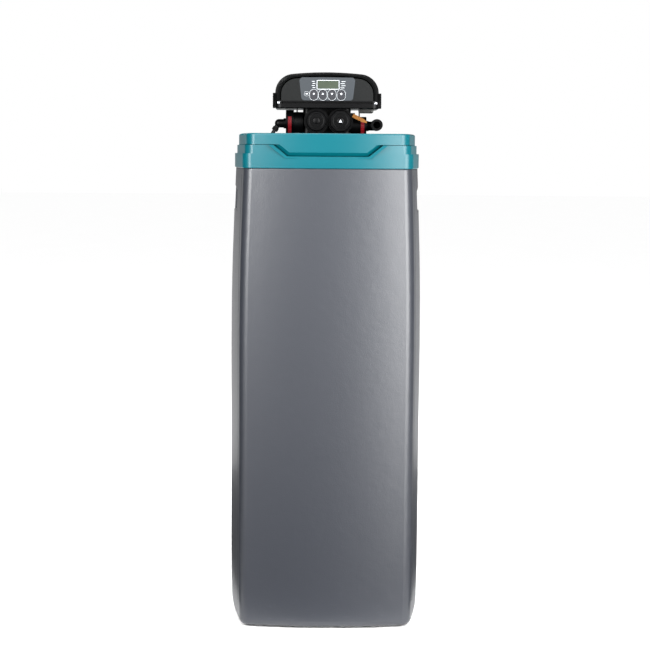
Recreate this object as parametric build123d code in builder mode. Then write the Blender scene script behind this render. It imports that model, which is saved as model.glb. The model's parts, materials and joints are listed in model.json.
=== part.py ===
from build123d import *
import os
from math import atan2, cos, dist, pi, radians, sin, tan

# Cabinet water softener: a tall salt cabinet with a resin tank inside, a control valve on the tank's
# neck and a control head over it. Millimetres, +Z up, the front faces -Y, the origin is on the floor
# under the middle of the cabinet.

# Fits and cuts
clearance = 0.3
running_gap = 0.05
overrun = 6.0

# Cabinet shell
cabinet_width = 330.0
cabinet_depth = 490.0
cabinet_height = 757.0
cabinet_wall = 5.0
front_bow = 15.0
front_corner_radius = 18.0
rear_corner_radius = 26.0
front_corner_share = 0.86
rear_corner_share = 0.93
bottom_edge_radius = 10.0
rim_edge_radius = 2.0
# Height and width of the shell's cross-sections, as shares of the cabinet's height and width
section_shares = (
    (0.0, 0.988),
    (0.2, 0.999),
    (0.45, 1.0),
    (0.7, 1.0),
    (0.87, 0.981),
    (1.0, 0.957),
)

# Foot pads
pad_radius = 18.0
pad_height = 3.0
pad_spread_share = 0.66

# Hand-grip pockets in the side walls
grip_length = 180.0
grip_height = 42.0
grip_depth = 20.0
grip_below_rim = 52.0
grip_centre_depth = -140.0
grip_chamfer = 12.0

# Deck: the teal top of the cabinet
deck_wall = 3.5
deck_width = 320.0
deck_ledge_width = 312.0
deck_ledge_height = 24.0
deck_height = 38.0
skirt_depth = 12.0
skirt_wall = 3.0
skirt_lip_chamfer = 1.0

# Salt lid
lid_width = 306.0
lid_height = 19.0
lid_wall = 3.0
lid_edge_radius = 3.0
lid_seam = 0.8
hinge_depth = -139.0
hinge_radius = 4.0
hinge_pin_radius = 1.5
hinge_gap = 6.0
knuckle_length = 22.0
knuckle_centre_x = 92.0
lip_drop = 17.5
lip_bottom_width = 130.0
lip_top_width = 174.0
lip_thickness = 6.5
lip_bevel = 5.5
notch_gap = 1.0
notch_depth = 16.0

# Salt hatch under the lid
hatch_width = 236.0
hatch_front_gap = 33.0
hatch_rear_depth = -157.0
hatch_corner = 18.0
hatch_rim_height = 8.0

# Well in the deck's rear, which the valve stands in
well_width = 244.0
well_front_depth = -117.0
well_rear_depth = 111.0
well_depth = 45.0
well_corner = 20.0
well_wall = 3.0
neck_hole_radius = 52.0

# Resin tank on its boot. The names that end in depth are places measured from the tank's axis,
# negative towards the front.
tank_rear_gap = 150.0
tank_radius = 103.0
tank_wall = 4.0
tank_top_z = 776.0
boot_height = 40.0
boot_wall = 4.0
boot_floor = 4.0
tank_dome = 70.0
neck_radius = 42.0
neck_bore = 31.5
neck_height = 30.0
resin_height_share = 0.62

# Riser and strainers
riser_radius = 13.5
riser_wall = 2.6
strainer_radius = 27.0
strainer_height = 46.0
top_strainer_height = 40.0
strainer_slots = 12
strainer_slot = 1.6

# Salt grid
grid_z = 66.0
grid_thickness = 4.0
grid_margin = 3.0
grid_slot_length = 34.0
grid_slot_width = 7.0
grid_pitch_x = 44.0
grid_pitch_share = 0.0633
grid_leg_radius = 11.0

# Brine well with its pick-up tube and float
brine_side_gap = 22.0
brine_depth = -169.0
brine_radius = 38.0
brine_wall = 2.5
brine_top_z = 672.0
brine_cap_height = 14.0
brine_cap_wall = 2.5
brine_slot_width = 3.0
brine_slot_height = 60.0
pickup_radius = 5.0
pickup_bore = 3.2
pickup_foot_radius = 13.0
pickup_foot_height = 34.0
float_radius = 26.0
float_height = 46.0

# Brine tube. Its first places are measured across and along from the elbow's corner, with their height;
# the others are shares of the way from the grommet to the cap of the brine well.
tube_radius = 3.25
tube_start_places = (
    (-5.0, 0.0, 829.0),
    (-17.0, -2.0, 811.0),
    (-22.0, -8.0, 786.0),
    (-22.0, -18.0, 761.0),
)
tube_end_z = 681.0
tube_way_shares = (
    (0.167, 0.25, 0.2375),
    (0.4, 0.5, 0.325),
    (0.667, 0.716, 0.41875),
    (0.867, 0.875, 0.575),
    (0.967, 0.966, 0.78125),
    (1.0, 1.0, 1.0),
)
tube_bend_share = 0.45
grommet_radius = 9.5
grommet_groove = 7.5
grommet_height = 8.0

# Overflow fitting in the rear wall
overflow_x = 92.0
overflow_z = 650.0
overflow_radius = 9.0
overflow_bore = 6.5
overflow_flange = 14.0
overflow_flange_width = 3.0
overflow_reach = 24.0
overflow_drop = 30.0
overflow_spigot_length = 18.0
overflow_collar_radius = 10.5
overflow_nut_width = 9.0

# Valve body
valve_width = 84.0
valve_front_depth = -75.0
valve_rear_depth = 53.0
valve_top_z = 862.0
valve_corner = 9.0
neck_flange_radius = 47.0
neck_flange_height = 10.0
seal_height = 2.0
port_z = 838.0
boss_radius = 22.0
boss_front_depth = -93.0
boss_z = 840.5
injector_boss_x = -18.4
flow_boss_x = 23.6
boss_bore = 12.0
boss_bore_depth = 30.0
cap_radius = 17.5
cap_width = 8.0
cap_ring_radius = 9.2
cap_ring_wall = 1.6
cap_ring_depth = 1.6
cap_stem_radius = 11.5
cap_stem_length = 8.0
flow_cap_radius = 20.0
flow_cap_sides = 8
injector_radius = 7.0
injector_length = 18.0
nozzle_bore = 2.2
flow_control_radius = 9.0
flow_control_length = 5.0

# Side branches: plug valves, levers and elbows
branch_depth = -63.0
brine_port_radius = 18.5
brine_plug_radius = 20.5
brine_plug_x = 65.0
brine_plug_z = 839.5
drain_plug_radius = 16.0
drain_plug_x = 62.5
drain_plug_z = 832.7
plug_width = 14.0
lever_width = 5.0
lever_hub_share = 0.68
lever_grip_width = 6.2
lever_grip_height = 4.0
lever_trunnion_radius = 4.0
lever_top_angle = 20.0
lever_bottom_angle = 57.0
lever_turn = 90.0
elbow_radius = 7.5
elbow_ring_radius = 9.0
elbow_ring_width = 4.0
brine_elbow_x = 84.0
brine_nut_length = 6.0
brine_nut_radius = 5.4
drain_stub_radius = 8.0
drain_stub_collar = 9.0
drain_elbow_x = 87.5
drain_elbow_z = 834.4
drain_elbow_radius = 10.3
drain_port_bore = 6.4
drain_port_front_depth = -87.0
drain_port_depth = 26.0
strap_start = (45.0, 850.5)
strap_end = (69.5, 838.5)
strap_width = 6.5
strap_thickness = 2.6
strap_rib_height = 0.9
strap_ribs = 7
strap_depth = -96.5
strap_peg_radius = 1.6
strap_peg_shares = (0.08, 0.62)
strap_peg_sink_share = 0.8
strap_lug_width = 7.0
strap_lug_height = 9.0
strap_lug_depth = 12.0

# Tails at the rear and their union nuts
tail_x = 21.0
tail_radius = 13.22
tail_bore = 9.5
tail_rear_depth = 119.0
tail_thread_length = 20.0
tail_relief_radius = 12.5
tail_flange_radius = 14.8
tail_flange_width = 4.0
rear_port_radius = 15.0
rear_port_length = 10.0
union_nut_radius = 19.0
union_nut_length = 20.0
union_nut_wall = 2.6

# Control head tray
head_half_width = 91.0
head_front_depth = -107.0
head_rear_depth = 47.0
tray_bottom_z = 862.0
tray_height = 13.0
tray_wall = 3.0
tray_corner = 12.0
tray_groove_depth = 4.5
tray_groove_height = 3.2
tray_groove_z = 871.5
tray_window_width = 76.0
tray_window_front_depth = -50.0
tray_window_rear_depth = 21.0

# Smoked cover of the head
cover_wall = 2.5
cover_top_z = 926.0
cover_corner = 33.0
cover_crown = 7.0
cover_corner_share = 0.8
# Depth along the head, width and height of the cover's arches, as shares of the head's sizes
cover_arch_shares = (
    (0.0, 0.925, 0.905),
    (0.1, 0.975, 0.965),
    (0.32, 1.0, 1.0),
    (0.66, 0.995, 0.98),
    (1.0, 0.9, 0.7),
)
ear_length = 30.0
ear_front_depth = -87.0
ear_thickness = 3.4
ear_top_z = 889.0
ear_bottom_z = 863.0

# Front panel with its overlay, window and buttons
panel_recess = 2.5
panel_thickness = 3.0
panel_half_width = 80.0
panel_top_z = 916.5
panel_corner = 27.0
overlay_top_half = 49.0
overlay_bottom_half = 44.5
overlay_top_z = 915.5
overlay_bottom_z = 875.8
overlay_corner = 6.0
overlay_thickness = 0.5
display_x = 1.3
display_z = 902.9
display_width = 35.8
display_height = 12.8
button_xs = (-23.3, -7.7, 8.2, 24.4)
button_z = 885.5
button_width = 12.4
button_height = 16.6
button_flange = 1.0
button_travel = 1.0
button_stand = 0.8
pad_sheet = 1.0
board_gap = 2.6
board_thickness = 1.6
board_width = 120.0
board_height = 34.0
standoff_radius = 2.6

# Drive train over the flappers
cam_depth = -17.0
cam_z = 888.0
cam_radius = 4.0
cam_half_length = 55.0
lobe_radius = 14.0
lobe_offset = 5.0
lobe_base_radius = 9.0
lobe_width = 9.0
lobe_first_angle = 45.0
station_xs = (-27.0, -9.0, 9.0, 27.0)
bearing_x = 43.0
bearing_width = 5.0
bearing_half_depth = 9.0
gear_module = 0.9
drive_teeth = 40
pinion_teeth = 10
gear_width = 6.0
gear_x = 52.0
pinion_angle = 40.0
tooth_pitch_share = 0.44
tooth_tip_share = 0.24
tooth_root_share = 0.62
root_share = 1.2
tip_share = 0.85
motor_radius = 13.0
motor_front_x = 58.0
motor_length = 23.0
motor_shaft_radius = 1.5
housing_width = 26.0
housing_depth = 34.0
housing_bottom_z = 855.5
housing_wall = 1.6

# Flappers
flapper_pin_depth = 9.0
flapper_pin_z = 871.5
flapper_pin_radius = 1.5
flapper_knuckle_radius = 3.0
flapper_length = 38.0
flapper_width = 12.0
flapper_thickness = 3.0
flapper_post_width = 3.0
spring_sheet = 0.8
spring_finger_width = 5.0
spring_finger_rise = 3.8

# Leads, gland and screws
lead_radius = 1.2
left_lead_x = -57.0
right_lead_x = 57.0
gland_radius = 7.0
gland_bore = 3.5
gland_neck_radius = 5.0
gland_x = -58.0
gland_z = 870.0
gland_reach = 14.0
screw_head_radius = 3.2
screw_head_height = 2.0
screw_shank_radius = 1.6
screw_length = 9.0
screw_inset = 3.52

# Heights and places that follow from the sizes above
floor_z = pad_height
rim_z = pad_height + cabinet_height
ledge_z = rim_z + deck_ledge_height
step_z = rim_z + deck_height
top_z = step_z + lid_height
front_y = -cabinet_depth / 2
rear_y = cabinet_depth / 2
inner_floor_z = floor_z + cabinet_wall
rim_width = cabinet_width * section_shares[-1][1]
tank_y = rear_y - tank_rear_gap
hinge_y = tank_y + hinge_depth
grip_centre_y = tank_y + grip_centre_depth
hatch_front_y = front_y + hatch_front_gap
hatch_rear_y = tank_y + hatch_rear_depth
well_front_y = tank_y + well_front_depth
well_rear_y = tank_y + well_rear_depth
valve_front_y = tank_y + valve_front_depth
valve_rear_y = tank_y + valve_rear_depth
boss_front_y = tank_y + boss_front_depth
branch_y = tank_y + branch_depth
drain_port_front_y = tank_y + drain_port_front_depth
strap_y = tank_y + strap_depth
tail_rear_y = tank_y + tail_rear_depth
head_front_y = tank_y + head_front_depth
head_rear_y = tank_y + head_rear_depth
tray_window_front_y = tank_y + tray_window_front_depth
tray_window_rear_y = tank_y + tray_window_rear_depth
ear_front_y = tank_y + ear_front_depth
cam_y = tank_y + cam_depth
flapper_pin_y = tank_y + flapper_pin_depth
brine_x = brine_side_gap + brine_radius + cabinet_wall - cabinet_width / 2
brine_y = tank_y + brine_depth
grid_pitch_y = (tank_y - tank_radius - front_y) * grid_pitch_share
tube_route = [(across - brine_elbow_x, branch_y + along, height) for across, along, height in tube_start_places]
grommet_exit = tube_route[-1]
for across_share, along_share, drop_share in tube_way_shares:
    tube_route.append((grommet_exit[0] + (brine_x - grommet_exit[0]) * across_share,
                       grommet_exit[1] + (brine_y - grommet_exit[1]) * along_share,
                       grommet_exit[2] + (tube_end_z - grommet_exit[2]) * drop_share))
rear_block_y = hinge_y + hinge_gap
lid_rear_y = hinge_y - hinge_gap
hinge_z = top_z - hinge_radius
well_floor_z = top_z - well_depth
tray_top_z = tray_bottom_z + tray_height
head_depth = head_rear_y - head_front_y
grommet_place = (tube_route[2][0], (tube_route[2][1] + tube_route[3][1]) / 2)
board_centre_z = tray_top_z + board_height / 2 + tray_wall
standoff_x = board_width / 2 - standoff_radius * 2
standoff_heights = (board_height / 4, board_height)
standoff_places = [(side * standoff_x, height) for side in (-1, 1) for height in standoff_heights]
board_rear_y = head_front_y + panel_recess + panel_thickness + pad_sheet + board_gap + board_thickness
tray_screw_places = [
    (side * (valve_width / 2 - screw_inset), screw_y)
    for side in (-1, 1)
    for screw_y in (tray_window_front_y - tray_corner, tray_window_rear_y + tray_corner)
]


def plan(width, inset=0.0):
    """Plan of the cabinet or its deck, drawn in by an inset: bowed front, bulged sides, straight rear."""
    half = width / 2 - inset
    front = front_y + inset
    rear = rear_y - inset
    with BuildSketch() as sketch:
        with BuildLine():
            front_left = (-half * front_corner_share, front + front_bow)
            front_right = (half * front_corner_share, front + front_bow)
            rear_right = (half * rear_corner_share, rear)
            rear_left = (-half * rear_corner_share, rear)
            ThreePointArc(front_left, (0, front), front_right)
            ThreePointArc(front_right, (half, 0), rear_right)
            Line(rear_right, rear_left)
            ThreePointArc(rear_left, (-half, 0), front_left)
        make_face()
        fillet(sketch.vertices().group_by(Axis.Y)[0], front_corner_radius - inset)
        fillet(sketch.vertices().group_by(Axis.Y)[-1], rear_corner_radius - inset)
    return sketch.sketch


def loft_shell(inset, base_z, crown_z):
    """Loft the cabinet's cross-sections, drawn in by an inset, between two heights."""
    sections = []
    for height_share, width_share in section_shares:
        with BuildSketch(Plane.XY.offset(base_z + (crown_z - base_z) * height_share)) as level:
            add(plan(cabinet_width * width_share, inset))
        sections.append(level.sketch)
    loft(sections)


def grip_cutter(growth):
    """Pockets of both hand grips, grown by a wall when they shape the inner side."""
    height = grip_height + growth * 2
    centre_z = rim_z - grip_below_rim
    outer_x = cabinet_width / 2 + overrun
    inner_x = cabinet_width / 2 - grip_depth - growth
    with BuildPart() as cutter:
        for side in (-1, 1):
            with BuildSketch(Plane.XZ.offset(-grip_centre_y - grip_length / 2 - growth)):
                with BuildLine():
                    Polyline(
                        (side * outer_x, centre_z - height / 2),
                        (side * inner_x, centre_z - height / 2),
                        (side * inner_x, centre_z + height / 2 - grip_chamfer),
                        (side * (inner_x + grip_chamfer), centre_z + height / 2),
                        (side * outer_x, centre_z + height / 2),
                        close=True,
                    )
                make_face()
            extrude(amount=grip_length + growth * 2)
    return cutter.part


# Cabinet shell with its two hand-grip pockets and the hole of the overflow fitting
with BuildPart() as cabinet_cavity:
    loft_shell(cabinet_wall, inner_floor_z, rim_z)
    add(grip_cutter(cabinet_wall), mode=Mode.SUBTRACT)

with BuildPart() as cabinet:
    loft_shell(0.0, floor_z, rim_z)
    fillet(cabinet.faces().sort_by(Axis.Z)[0].edges(), bottom_edge_radius)
    fillet(cabinet.faces().sort_by(Axis.Z)[-1].edges(), rim_edge_radius)
    add(cabinet_cavity.part, mode=Mode.SUBTRACT)
    add(grip_cutter(0.0), mode=Mode.SUBTRACT)
    with BuildSketch(Plane.XZ.offset(-rear_y - overrun)):
        with Locations((overflow_x, overflow_z)):
            Circle(overflow_radius + clearance)
    extrude(amount=overrun * 3, mode=Mode.SUBTRACT)

# Foot pads
with BuildPart() as foot_pads:
    with BuildSketch():
        Circle(pad_radius)
        with GridLocations(cabinet_width * pad_spread_share, cabinet_depth * pad_spread_share, 2, 2):
            Circle(pad_radius)
    extrude(amount=pad_height)


def y_band(low_y, high_y):
    """Wide rectangle that keeps what lies between two depths."""
    with BuildSketch() as band:
        with Locations((0, (low_y + high_y) / 2)):
            Rectangle(cabinet_width + overrun, high_y - low_y)
    return band.sketch


def plan_band(width, inset, low_y, high_y):
    """Part of the deck's plan that lies between two depths."""
    with BuildSketch() as band:
        add(plan(width, inset))
        add(y_band(low_y, high_y), mode=Mode.INTERSECT)
    return band.sketch


def plan_ring(width, outer_inset, inner_inset):
    """Band between two insets of one plan."""
    with BuildSketch() as ring:
        add(plan(width, outer_inset))
        add(plan(width, inner_inset), mode=Mode.SUBTRACT)
    return ring.sketch


def lip_front(growth):
    """Front view of the finger lip, grown by a gap or a wall and run up past the deck."""
    low_z = step_z - lip_drop - growth
    slant = (lip_top_width - lip_bottom_width) / 2 / lip_drop
    bottom_half = lip_bottom_width / 2 + growth
    top_half = bottom_half + slant * (step_z + overrun - low_z)
    with BuildSketch() as face:
        with BuildLine():
            Polyline(
                (-top_half, step_z + overrun),
                (-bottom_half, low_z),
                (bottom_half, low_z),
                (top_half, step_z + overrun),
                close=True,
            )
        make_face()
    return face.sketch


def opening(low_y, high_y, width, corner, growth=0.0):
    """Rounded rectangle of the hatch or the well, grown by a wall."""
    with BuildSketch() as hole:
        with Locations((0, (low_y + high_y) / 2)):
            RectangleRounded(width + growth * 2, high_y - low_y + growth * 2, corner + growth)
    return hole.sketch


def hinge_half(start_x, length, root_side, bore):
    """One knuckle or ear of the lid's hinge, with the web that joins it to its side, or its bore."""
    with BuildSketch(Plane.YZ.offset(start_x)) as profile:
        with Locations((hinge_y, hinge_z)):
            Circle(hinge_radius)
        with Locations((hinge_y + root_side * hinge_gap / 2, hinge_z)):
            Rectangle(hinge_gap, hinge_radius * 2)
        with Locations((hinge_y, hinge_z)):
            Circle(bore, mode=Mode.SUBTRACT)
    extrude(profile.sketch, amount=length)


# Deck: a stepped skirt on the cabinet's rim, a raised rear block with the valve's well, the salt hatch
with BuildPart() as deck:
    with BuildSketch(Plane.XY.offset(rim_z)):
        add(plan(deck_width))
    extrude(amount=deck_ledge_height)
    chamfer(deck.faces().sort_by(Axis.Z)[0].edges(), skirt_lip_chamfer)
    with BuildSketch(Plane.XY.offset(ledge_z)):
        add(plan(deck_ledge_width))
    extrude(amount=deck_height - deck_ledge_height)
    with BuildSketch(Plane.XY.offset(step_z)):
        add(plan_band(lid_width, 0.0, rear_block_y, rear_y + overrun))
    extrude(amount=lid_height)
    fillet(deck.faces().sort_by(Axis.Z)[-1].edges(), lid_edge_radius)
    # Hollow under all three steps
    with BuildSketch(Plane.XY.offset(rim_z)):
        add(plan(deck_width, deck_wall))
    extrude(amount=deck_ledge_height - deck_wall, mode=Mode.SUBTRACT)
    with BuildSketch(Plane.XY.offset(rim_z)):
        add(plan(deck_ledge_width, deck_wall))
    extrude(amount=deck_height - deck_wall, mode=Mode.SUBTRACT)
    with BuildSketch(Plane.XY.offset(rim_z)):
        add(plan_band(lid_width, deck_wall, rear_block_y + deck_wall, rear_y))
    extrude(amount=deck_height + lid_height - deck_wall, mode=Mode.SUBTRACT)
    # Skirt that drops inside the cabinet's rim, and the web that carries it
    with BuildSketch(Plane.XY.offset(rim_z - skirt_depth)):
        add(plan_ring(rim_width, cabinet_wall + clearance, cabinet_wall + clearance + skirt_wall))
    extrude(amount=skirt_depth + deck_wall)
    with BuildSketch(Plane.XY.offset(rim_z)):
        add(plan(deck_width, deck_wall / 2))
        add(plan(rim_width, cabinet_wall + clearance + skirt_wall), mode=Mode.SUBTRACT)
    extrude(amount=deck_wall)
    # Wall behind the notch of the finger lip
    with BuildSketch(Plane.XZ.offset(-front_y - front_bow)):
        add(lip_front(deck_wall + notch_gap))
        with Locations((0, step_z + overrun)):
            Rectangle(cabinet_width, overrun * 2, mode=Mode.SUBTRACT)
    extrude(amount=front_bow - deck_wall / 2)
    with BuildSketch(Plane.XZ.offset(-front_y - notch_depth - deck_wall)):
        add(lip_front(deck_wall + notch_gap))
        with Locations((0, step_z + overrun)):
            Rectangle(cabinet_width, overrun * 2, mode=Mode.SUBTRACT)
    extrude(amount=notch_depth + deck_wall - front_bow)
    # Walls and floor of the valve's well
    with BuildSketch(Plane.XY.offset(well_floor_z - well_wall)):
        add(opening(well_front_y, well_rear_y, well_width, well_corner, well_wall))
    extrude(amount=well_depth + well_wall - deck_wall / 2)
    # Rim round the salt hatch
    with BuildSketch(Plane.XY.offset(step_z - deck_wall)):
        add(opening(hatch_front_y, hatch_rear_y, hatch_width, hatch_corner, deck_wall))
    extrude(amount=deck_wall + hatch_rim_height)
    # Openings: the well, the tank's neck, the grommet, the hatch and the notch
    with BuildSketch(Plane.XY.offset(well_floor_z)):
        add(opening(well_front_y, well_rear_y, well_width, well_corner))
    extrude(amount=well_depth + overrun, mode=Mode.SUBTRACT)
    with BuildSketch(Plane.XY.offset(well_floor_z - well_wall)):
        with Locations((0, tank_y)):
            Circle(neck_hole_radius)
        with Locations(grommet_place):
            Circle(grommet_groove)
    extrude(amount=well_wall, mode=Mode.SUBTRACT)
    with BuildSketch(Plane.XY.offset(step_z - deck_wall)):
        add(opening(hatch_front_y, hatch_rear_y, hatch_width, hatch_corner))
    extrude(amount=deck_wall + hatch_rim_height, mode=Mode.SUBTRACT)
    with BuildSketch(Plane.XZ.offset(-front_y - notch_depth)):
        add(lip_front(notch_gap))
    extrude(amount=notch_depth + overrun, mode=Mode.SUBTRACT)
    # Hinge ears on the rear block, on both sides of each knuckle of the lid
    for knuckle_x in (-knuckle_centre_x, knuckle_centre_x):
        ear_start = knuckle_x + knuckle_length / 2 + clearance
        hinge_half(ear_start, knuckle_length / 2, 1, hinge_pin_radius)
        ear_start = knuckle_x - knuckle_length - clearance
        hinge_half(ear_start, knuckle_length / 2, 1, hinge_pin_radius)

# Salt lid: a shallow tray turned over, with the bevelled finger lip and two knuckles
with BuildPart() as lid_lip:
    with BuildSketch(Plane.XZ.offset(-hatch_front_y)):
        add(lip_front(0.0))
    extrude(amount=hatch_front_y - front_y + overrun)
    with BuildSketch(Plane.XY.offset(step_z - lip_drop)):
        add(plan_ring(lid_width, 0.0, lip_thickness))
    extrude(amount=lip_drop + overrun, mode=Mode.INTERSECT)
    front_edges = lid_lip.faces().sort_by(Axis.Y)[0].edges()
    chamfer(front_edges.sort_by(Axis.Z)[:-1], lip_bevel)

with BuildPart() as salt_lid:
    with BuildSketch(Plane.XY.offset(step_z + lid_seam)):
        add(plan_band(lid_width, 0.0, front_y - overrun, lid_rear_y))
    extrude(amount=lid_height - lid_seam)
    fillet(salt_lid.faces().sort_by(Axis.Z)[-1].edges(), lid_edge_radius)
    with BuildSketch(Plane.XY.offset(step_z)):
        add(plan_band(lid_width, lid_wall, front_y, lid_rear_y - lid_wall))
    extrude(amount=lid_height - lid_wall, mode=Mode.SUBTRACT)
    add(lid_lip.part)
    for knuckle_x in (-knuckle_centre_x, knuckle_centre_x):
        hinge_half(knuckle_x - knuckle_length / 2, knuckle_length, -1, hinge_pin_radius + running_gap)

# Hinge pins of the lid
with BuildPart() as lid_hinge_pins:
    for knuckle_x in (-knuckle_centre_x, knuckle_centre_x):
        with BuildSketch(Plane.YZ.offset(knuckle_x - knuckle_length - clearance)):
            with Locations((hinge_y, hinge_z)):
                Circle(hinge_pin_radius)
        extrude(amount=knuckle_length * 2 + clearance * 2)


def ring_slots(count, length, width, radius, low_z):
    """Upright slots round a vertical tube, as a cutter at the part's origin."""
    with BuildPart() as cutter:
        for number in range(count):
            angle = 360 / count * number
            with BuildSketch(Plane.XY.offset(low_z)):
                with PolarLocations(radius, 1, start_angle=angle):
                    Rectangle(radius, width)
            extrude(amount=length)
    return cutter.part


def axle(axis_y, axis_z, start_x, length, radius, bore=0.0, mode=Mode.ADD):
    """Round bar or ring along X, from one X place."""
    with BuildSketch(Plane.YZ.offset(start_x)) as disc:
        with Locations((axis_y, axis_z)):
            Circle(radius)
            if bore:
                Circle(bore, mode=Mode.SUBTRACT)
    extrude(disc.sketch, amount=length, mode=mode)


def forward_bar(axis_x, axis_z, rear_place, length, radius, bore=0.0, mode=Mode.ADD):
    """Round bar or ring that runs from one depth towards the front."""
    with BuildSketch(Plane.XZ.offset(-rear_place)) as disc:
        with Locations((axis_x, axis_z)):
            Circle(radius)
            if bore:
                Circle(bore, mode=Mode.SUBTRACT)
    extrude(disc.sketch, amount=length, mode=mode)


def upright(axis_x, axis_y, low_z, height, radius, bore=0.0, mode=Mode.ADD):
    """Round post or tube along Z, from one height."""
    with BuildSketch(Plane.XY.offset(low_z)) as disc:
        with Locations((axis_x, axis_y)):
            Circle(radius)
            if bore:
                Circle(bore, mode=Mode.SUBTRACT)
    extrude(disc.sketch, amount=height, mode=mode)


def block(x_span, y_span, z_span, mode=Mode.ADD):
    """Box between two places along each axis."""
    with BuildSketch(Plane.XY.offset(z_span[0])) as base:
        with Locations(((x_span[0] + x_span[1]) / 2, (y_span[0] + y_span[1]) / 2)):
            Rectangle(x_span[1] - x_span[0], y_span[1] - y_span[0])
    extrude(base.sketch, amount=z_span[1] - z_span[0], mode=mode)


# Resin tank: a wound pressure vessel with domed ends and a threaded neck, turned about its own axis
tank_base_z = inner_floor_z + boot_floor
shoulder_z = tank_top_z - neck_height - tank_dome


def tank_profile(inset, top):
    """Half section of the tank on the XZ plane through its axis, drawn in by its wall."""
    radius = tank_radius - inset
    neck = neck_radius if not inset else neck_bore
    with BuildSketch(Plane.XZ.offset(-tank_y)) as half:
        with BuildLine():
            Line((0, tank_base_z + inset), (0, top))
            Line((0, top), (neck, top))
            Line((neck, top), (neck, tank_top_z - neck_height))
            Spline((neck, tank_top_z - neck_height), (radius, shoulder_z),
                   tangents=((1, 0), (0, -1)))
            Line((radius, shoulder_z), (radius, tank_base_z + tank_dome))
            Spline((radius, tank_base_z + tank_dome), (0, tank_base_z + inset),
                   tangents=((0, -1), (-1, 0)))
        make_face()
    return half.sketch


tank_axis = Axis((0, tank_y, 0), (0, 0, 1))
with BuildPart() as resin_tank:
    revolve(tank_profile(0.0, tank_top_z), axis=tank_axis)
    revolve(tank_profile(tank_wall, tank_top_z), axis=tank_axis, mode=Mode.SUBTRACT)

with BuildPart() as tank_boot:
    upright(0, tank_y, inner_floor_z, boot_height, tank_radius + boot_wall + clearance)
    upright(0, tank_y, inner_floor_z + boot_floor, boot_height, tank_radius + clearance, mode=Mode.SUBTRACT)
    upright(0, tank_y, inner_floor_z, boot_floor, tank_radius / 2, mode=Mode.SUBTRACT)

resin_top_z = tank_base_z + (tank_top_z - tank_base_z) * resin_height_share
with BuildPart() as resin_bed:
    revolve(tank_profile(tank_wall + clearance, tank_top_z), axis=tank_axis)
    upright(0, tank_y, resin_top_z, tank_top_z, tank_radius * 2, mode=Mode.SUBTRACT)
    upright(0, tank_y, 0, tank_top_z, riser_radius + clearance, mode=Mode.SUBTRACT)
    upright(0, tank_y, 0, tank_base_z + tank_dome + clearance, strainer_radius + clearance,
            mode=Mode.SUBTRACT)

# Riser tube, with a slotted basket at its foot and a slotted cone in the tank's neck
strainer_base_z = tank_base_z + tank_dome - strainer_height
with BuildPart() as riser_tube:
    upright(0, tank_y, strainer_base_z + strainer_height / 2, tank_top_z - strainer_base_z - strainer_height / 2,
            riser_radius, riser_radius - riser_wall)

with BuildPart() as bottom_distributor:
    upright(0, tank_y, strainer_base_z, strainer_height, strainer_radius)
    upright(0, tank_y, strainer_base_z + strainer_height / 2, strainer_height, riser_radius, mode=Mode.SUBTRACT)
    upright(0, tank_y, strainer_base_z + riser_wall, strainer_height, riser_radius - riser_wall,
            mode=Mode.SUBTRACT)
    add(ring_slots(strainer_slots, strainer_height / 3, strainer_slot, strainer_radius,
                   strainer_base_z + riser_wall).moved(Location((0, tank_y, 0))), mode=Mode.SUBTRACT)

spigot_bottom_z = tank_top_z - neck_height + clearance
with BuildPart() as top_strainer:
    upright(0, tank_y, spigot_bottom_z - top_strainer_height, top_strainer_height, strainer_radius,
            riser_radius + clearance)
    add(ring_slots(strainer_slots, top_strainer_height / 2, strainer_slot, strainer_radius,
                   spigot_bottom_z - top_strainer_height * 3 / 4).moved(Location((0, tank_y, 0))),
        mode=Mode.SUBTRACT)

# Salt grid on six legs, cut out round the tank and the brine well
with BuildPart() as salt_grid:
    with BuildSketch(Plane.XY.offset(grid_z - grid_thickness)):
        add(plan(cabinet_width * section_shares[0][1], cabinet_wall + grid_margin))
        with Locations((0, tank_y)):
            Circle(tank_radius + grid_margin, mode=Mode.SUBTRACT)
        with Locations((brine_x, brine_y)):
            Circle(brine_radius + grid_margin / 2, mode=Mode.SUBTRACT)
    extrude(amount=grid_thickness)
    with BuildSketch(Plane.XY.offset(grid_z - grid_thickness)):
        with Locations((0, (front_y + tank_y - tank_radius) / 2)):
            with GridLocations(grid_pitch_x, grid_pitch_y, 5, 11):
                RectangleRounded(grid_slot_length, grid_slot_width, grid_slot_width / 2.1)
        with Locations((brine_x, brine_y)):
            Circle(brine_radius + grid_slot_width, mode=Mode.SUBTRACT)
    extrude(amount=grid_thickness, mode=Mode.SUBTRACT)
    leg_x = cabinet_width / 2 * front_corner_share - grid_leg_radius - cabinet_wall * 3
    leg_front_y = front_y + front_bow + grid_leg_radius * 2
    leg_rear_y = rear_y - grid_leg_radius * 2 - cabinet_wall
    for leg_place in ((-leg_x, leg_front_y), (leg_x, leg_front_y), (-leg_x, leg_rear_y),
                      (leg_x, leg_rear_y), (leg_x, brine_y), (0, brine_y)):
        upright(*leg_place, inner_floor_z, grid_z - grid_thickness - inner_floor_z, grid_leg_radius)

# Brine well: slotted tube with a cap, the pick-up tube and the float that slides on it
with BuildPart() as brine_well:
    upright(brine_x, brine_y, inner_floor_z, brine_top_z - inner_floor_z, brine_radius,
            brine_radius - brine_wall)
    add(ring_slots(6, brine_slot_height, brine_slot_width, brine_radius * 2,
                   inner_floor_z + cabinet_wall).moved(Location((brine_x, brine_y, 0))), mode=Mode.SUBTRACT)

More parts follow.
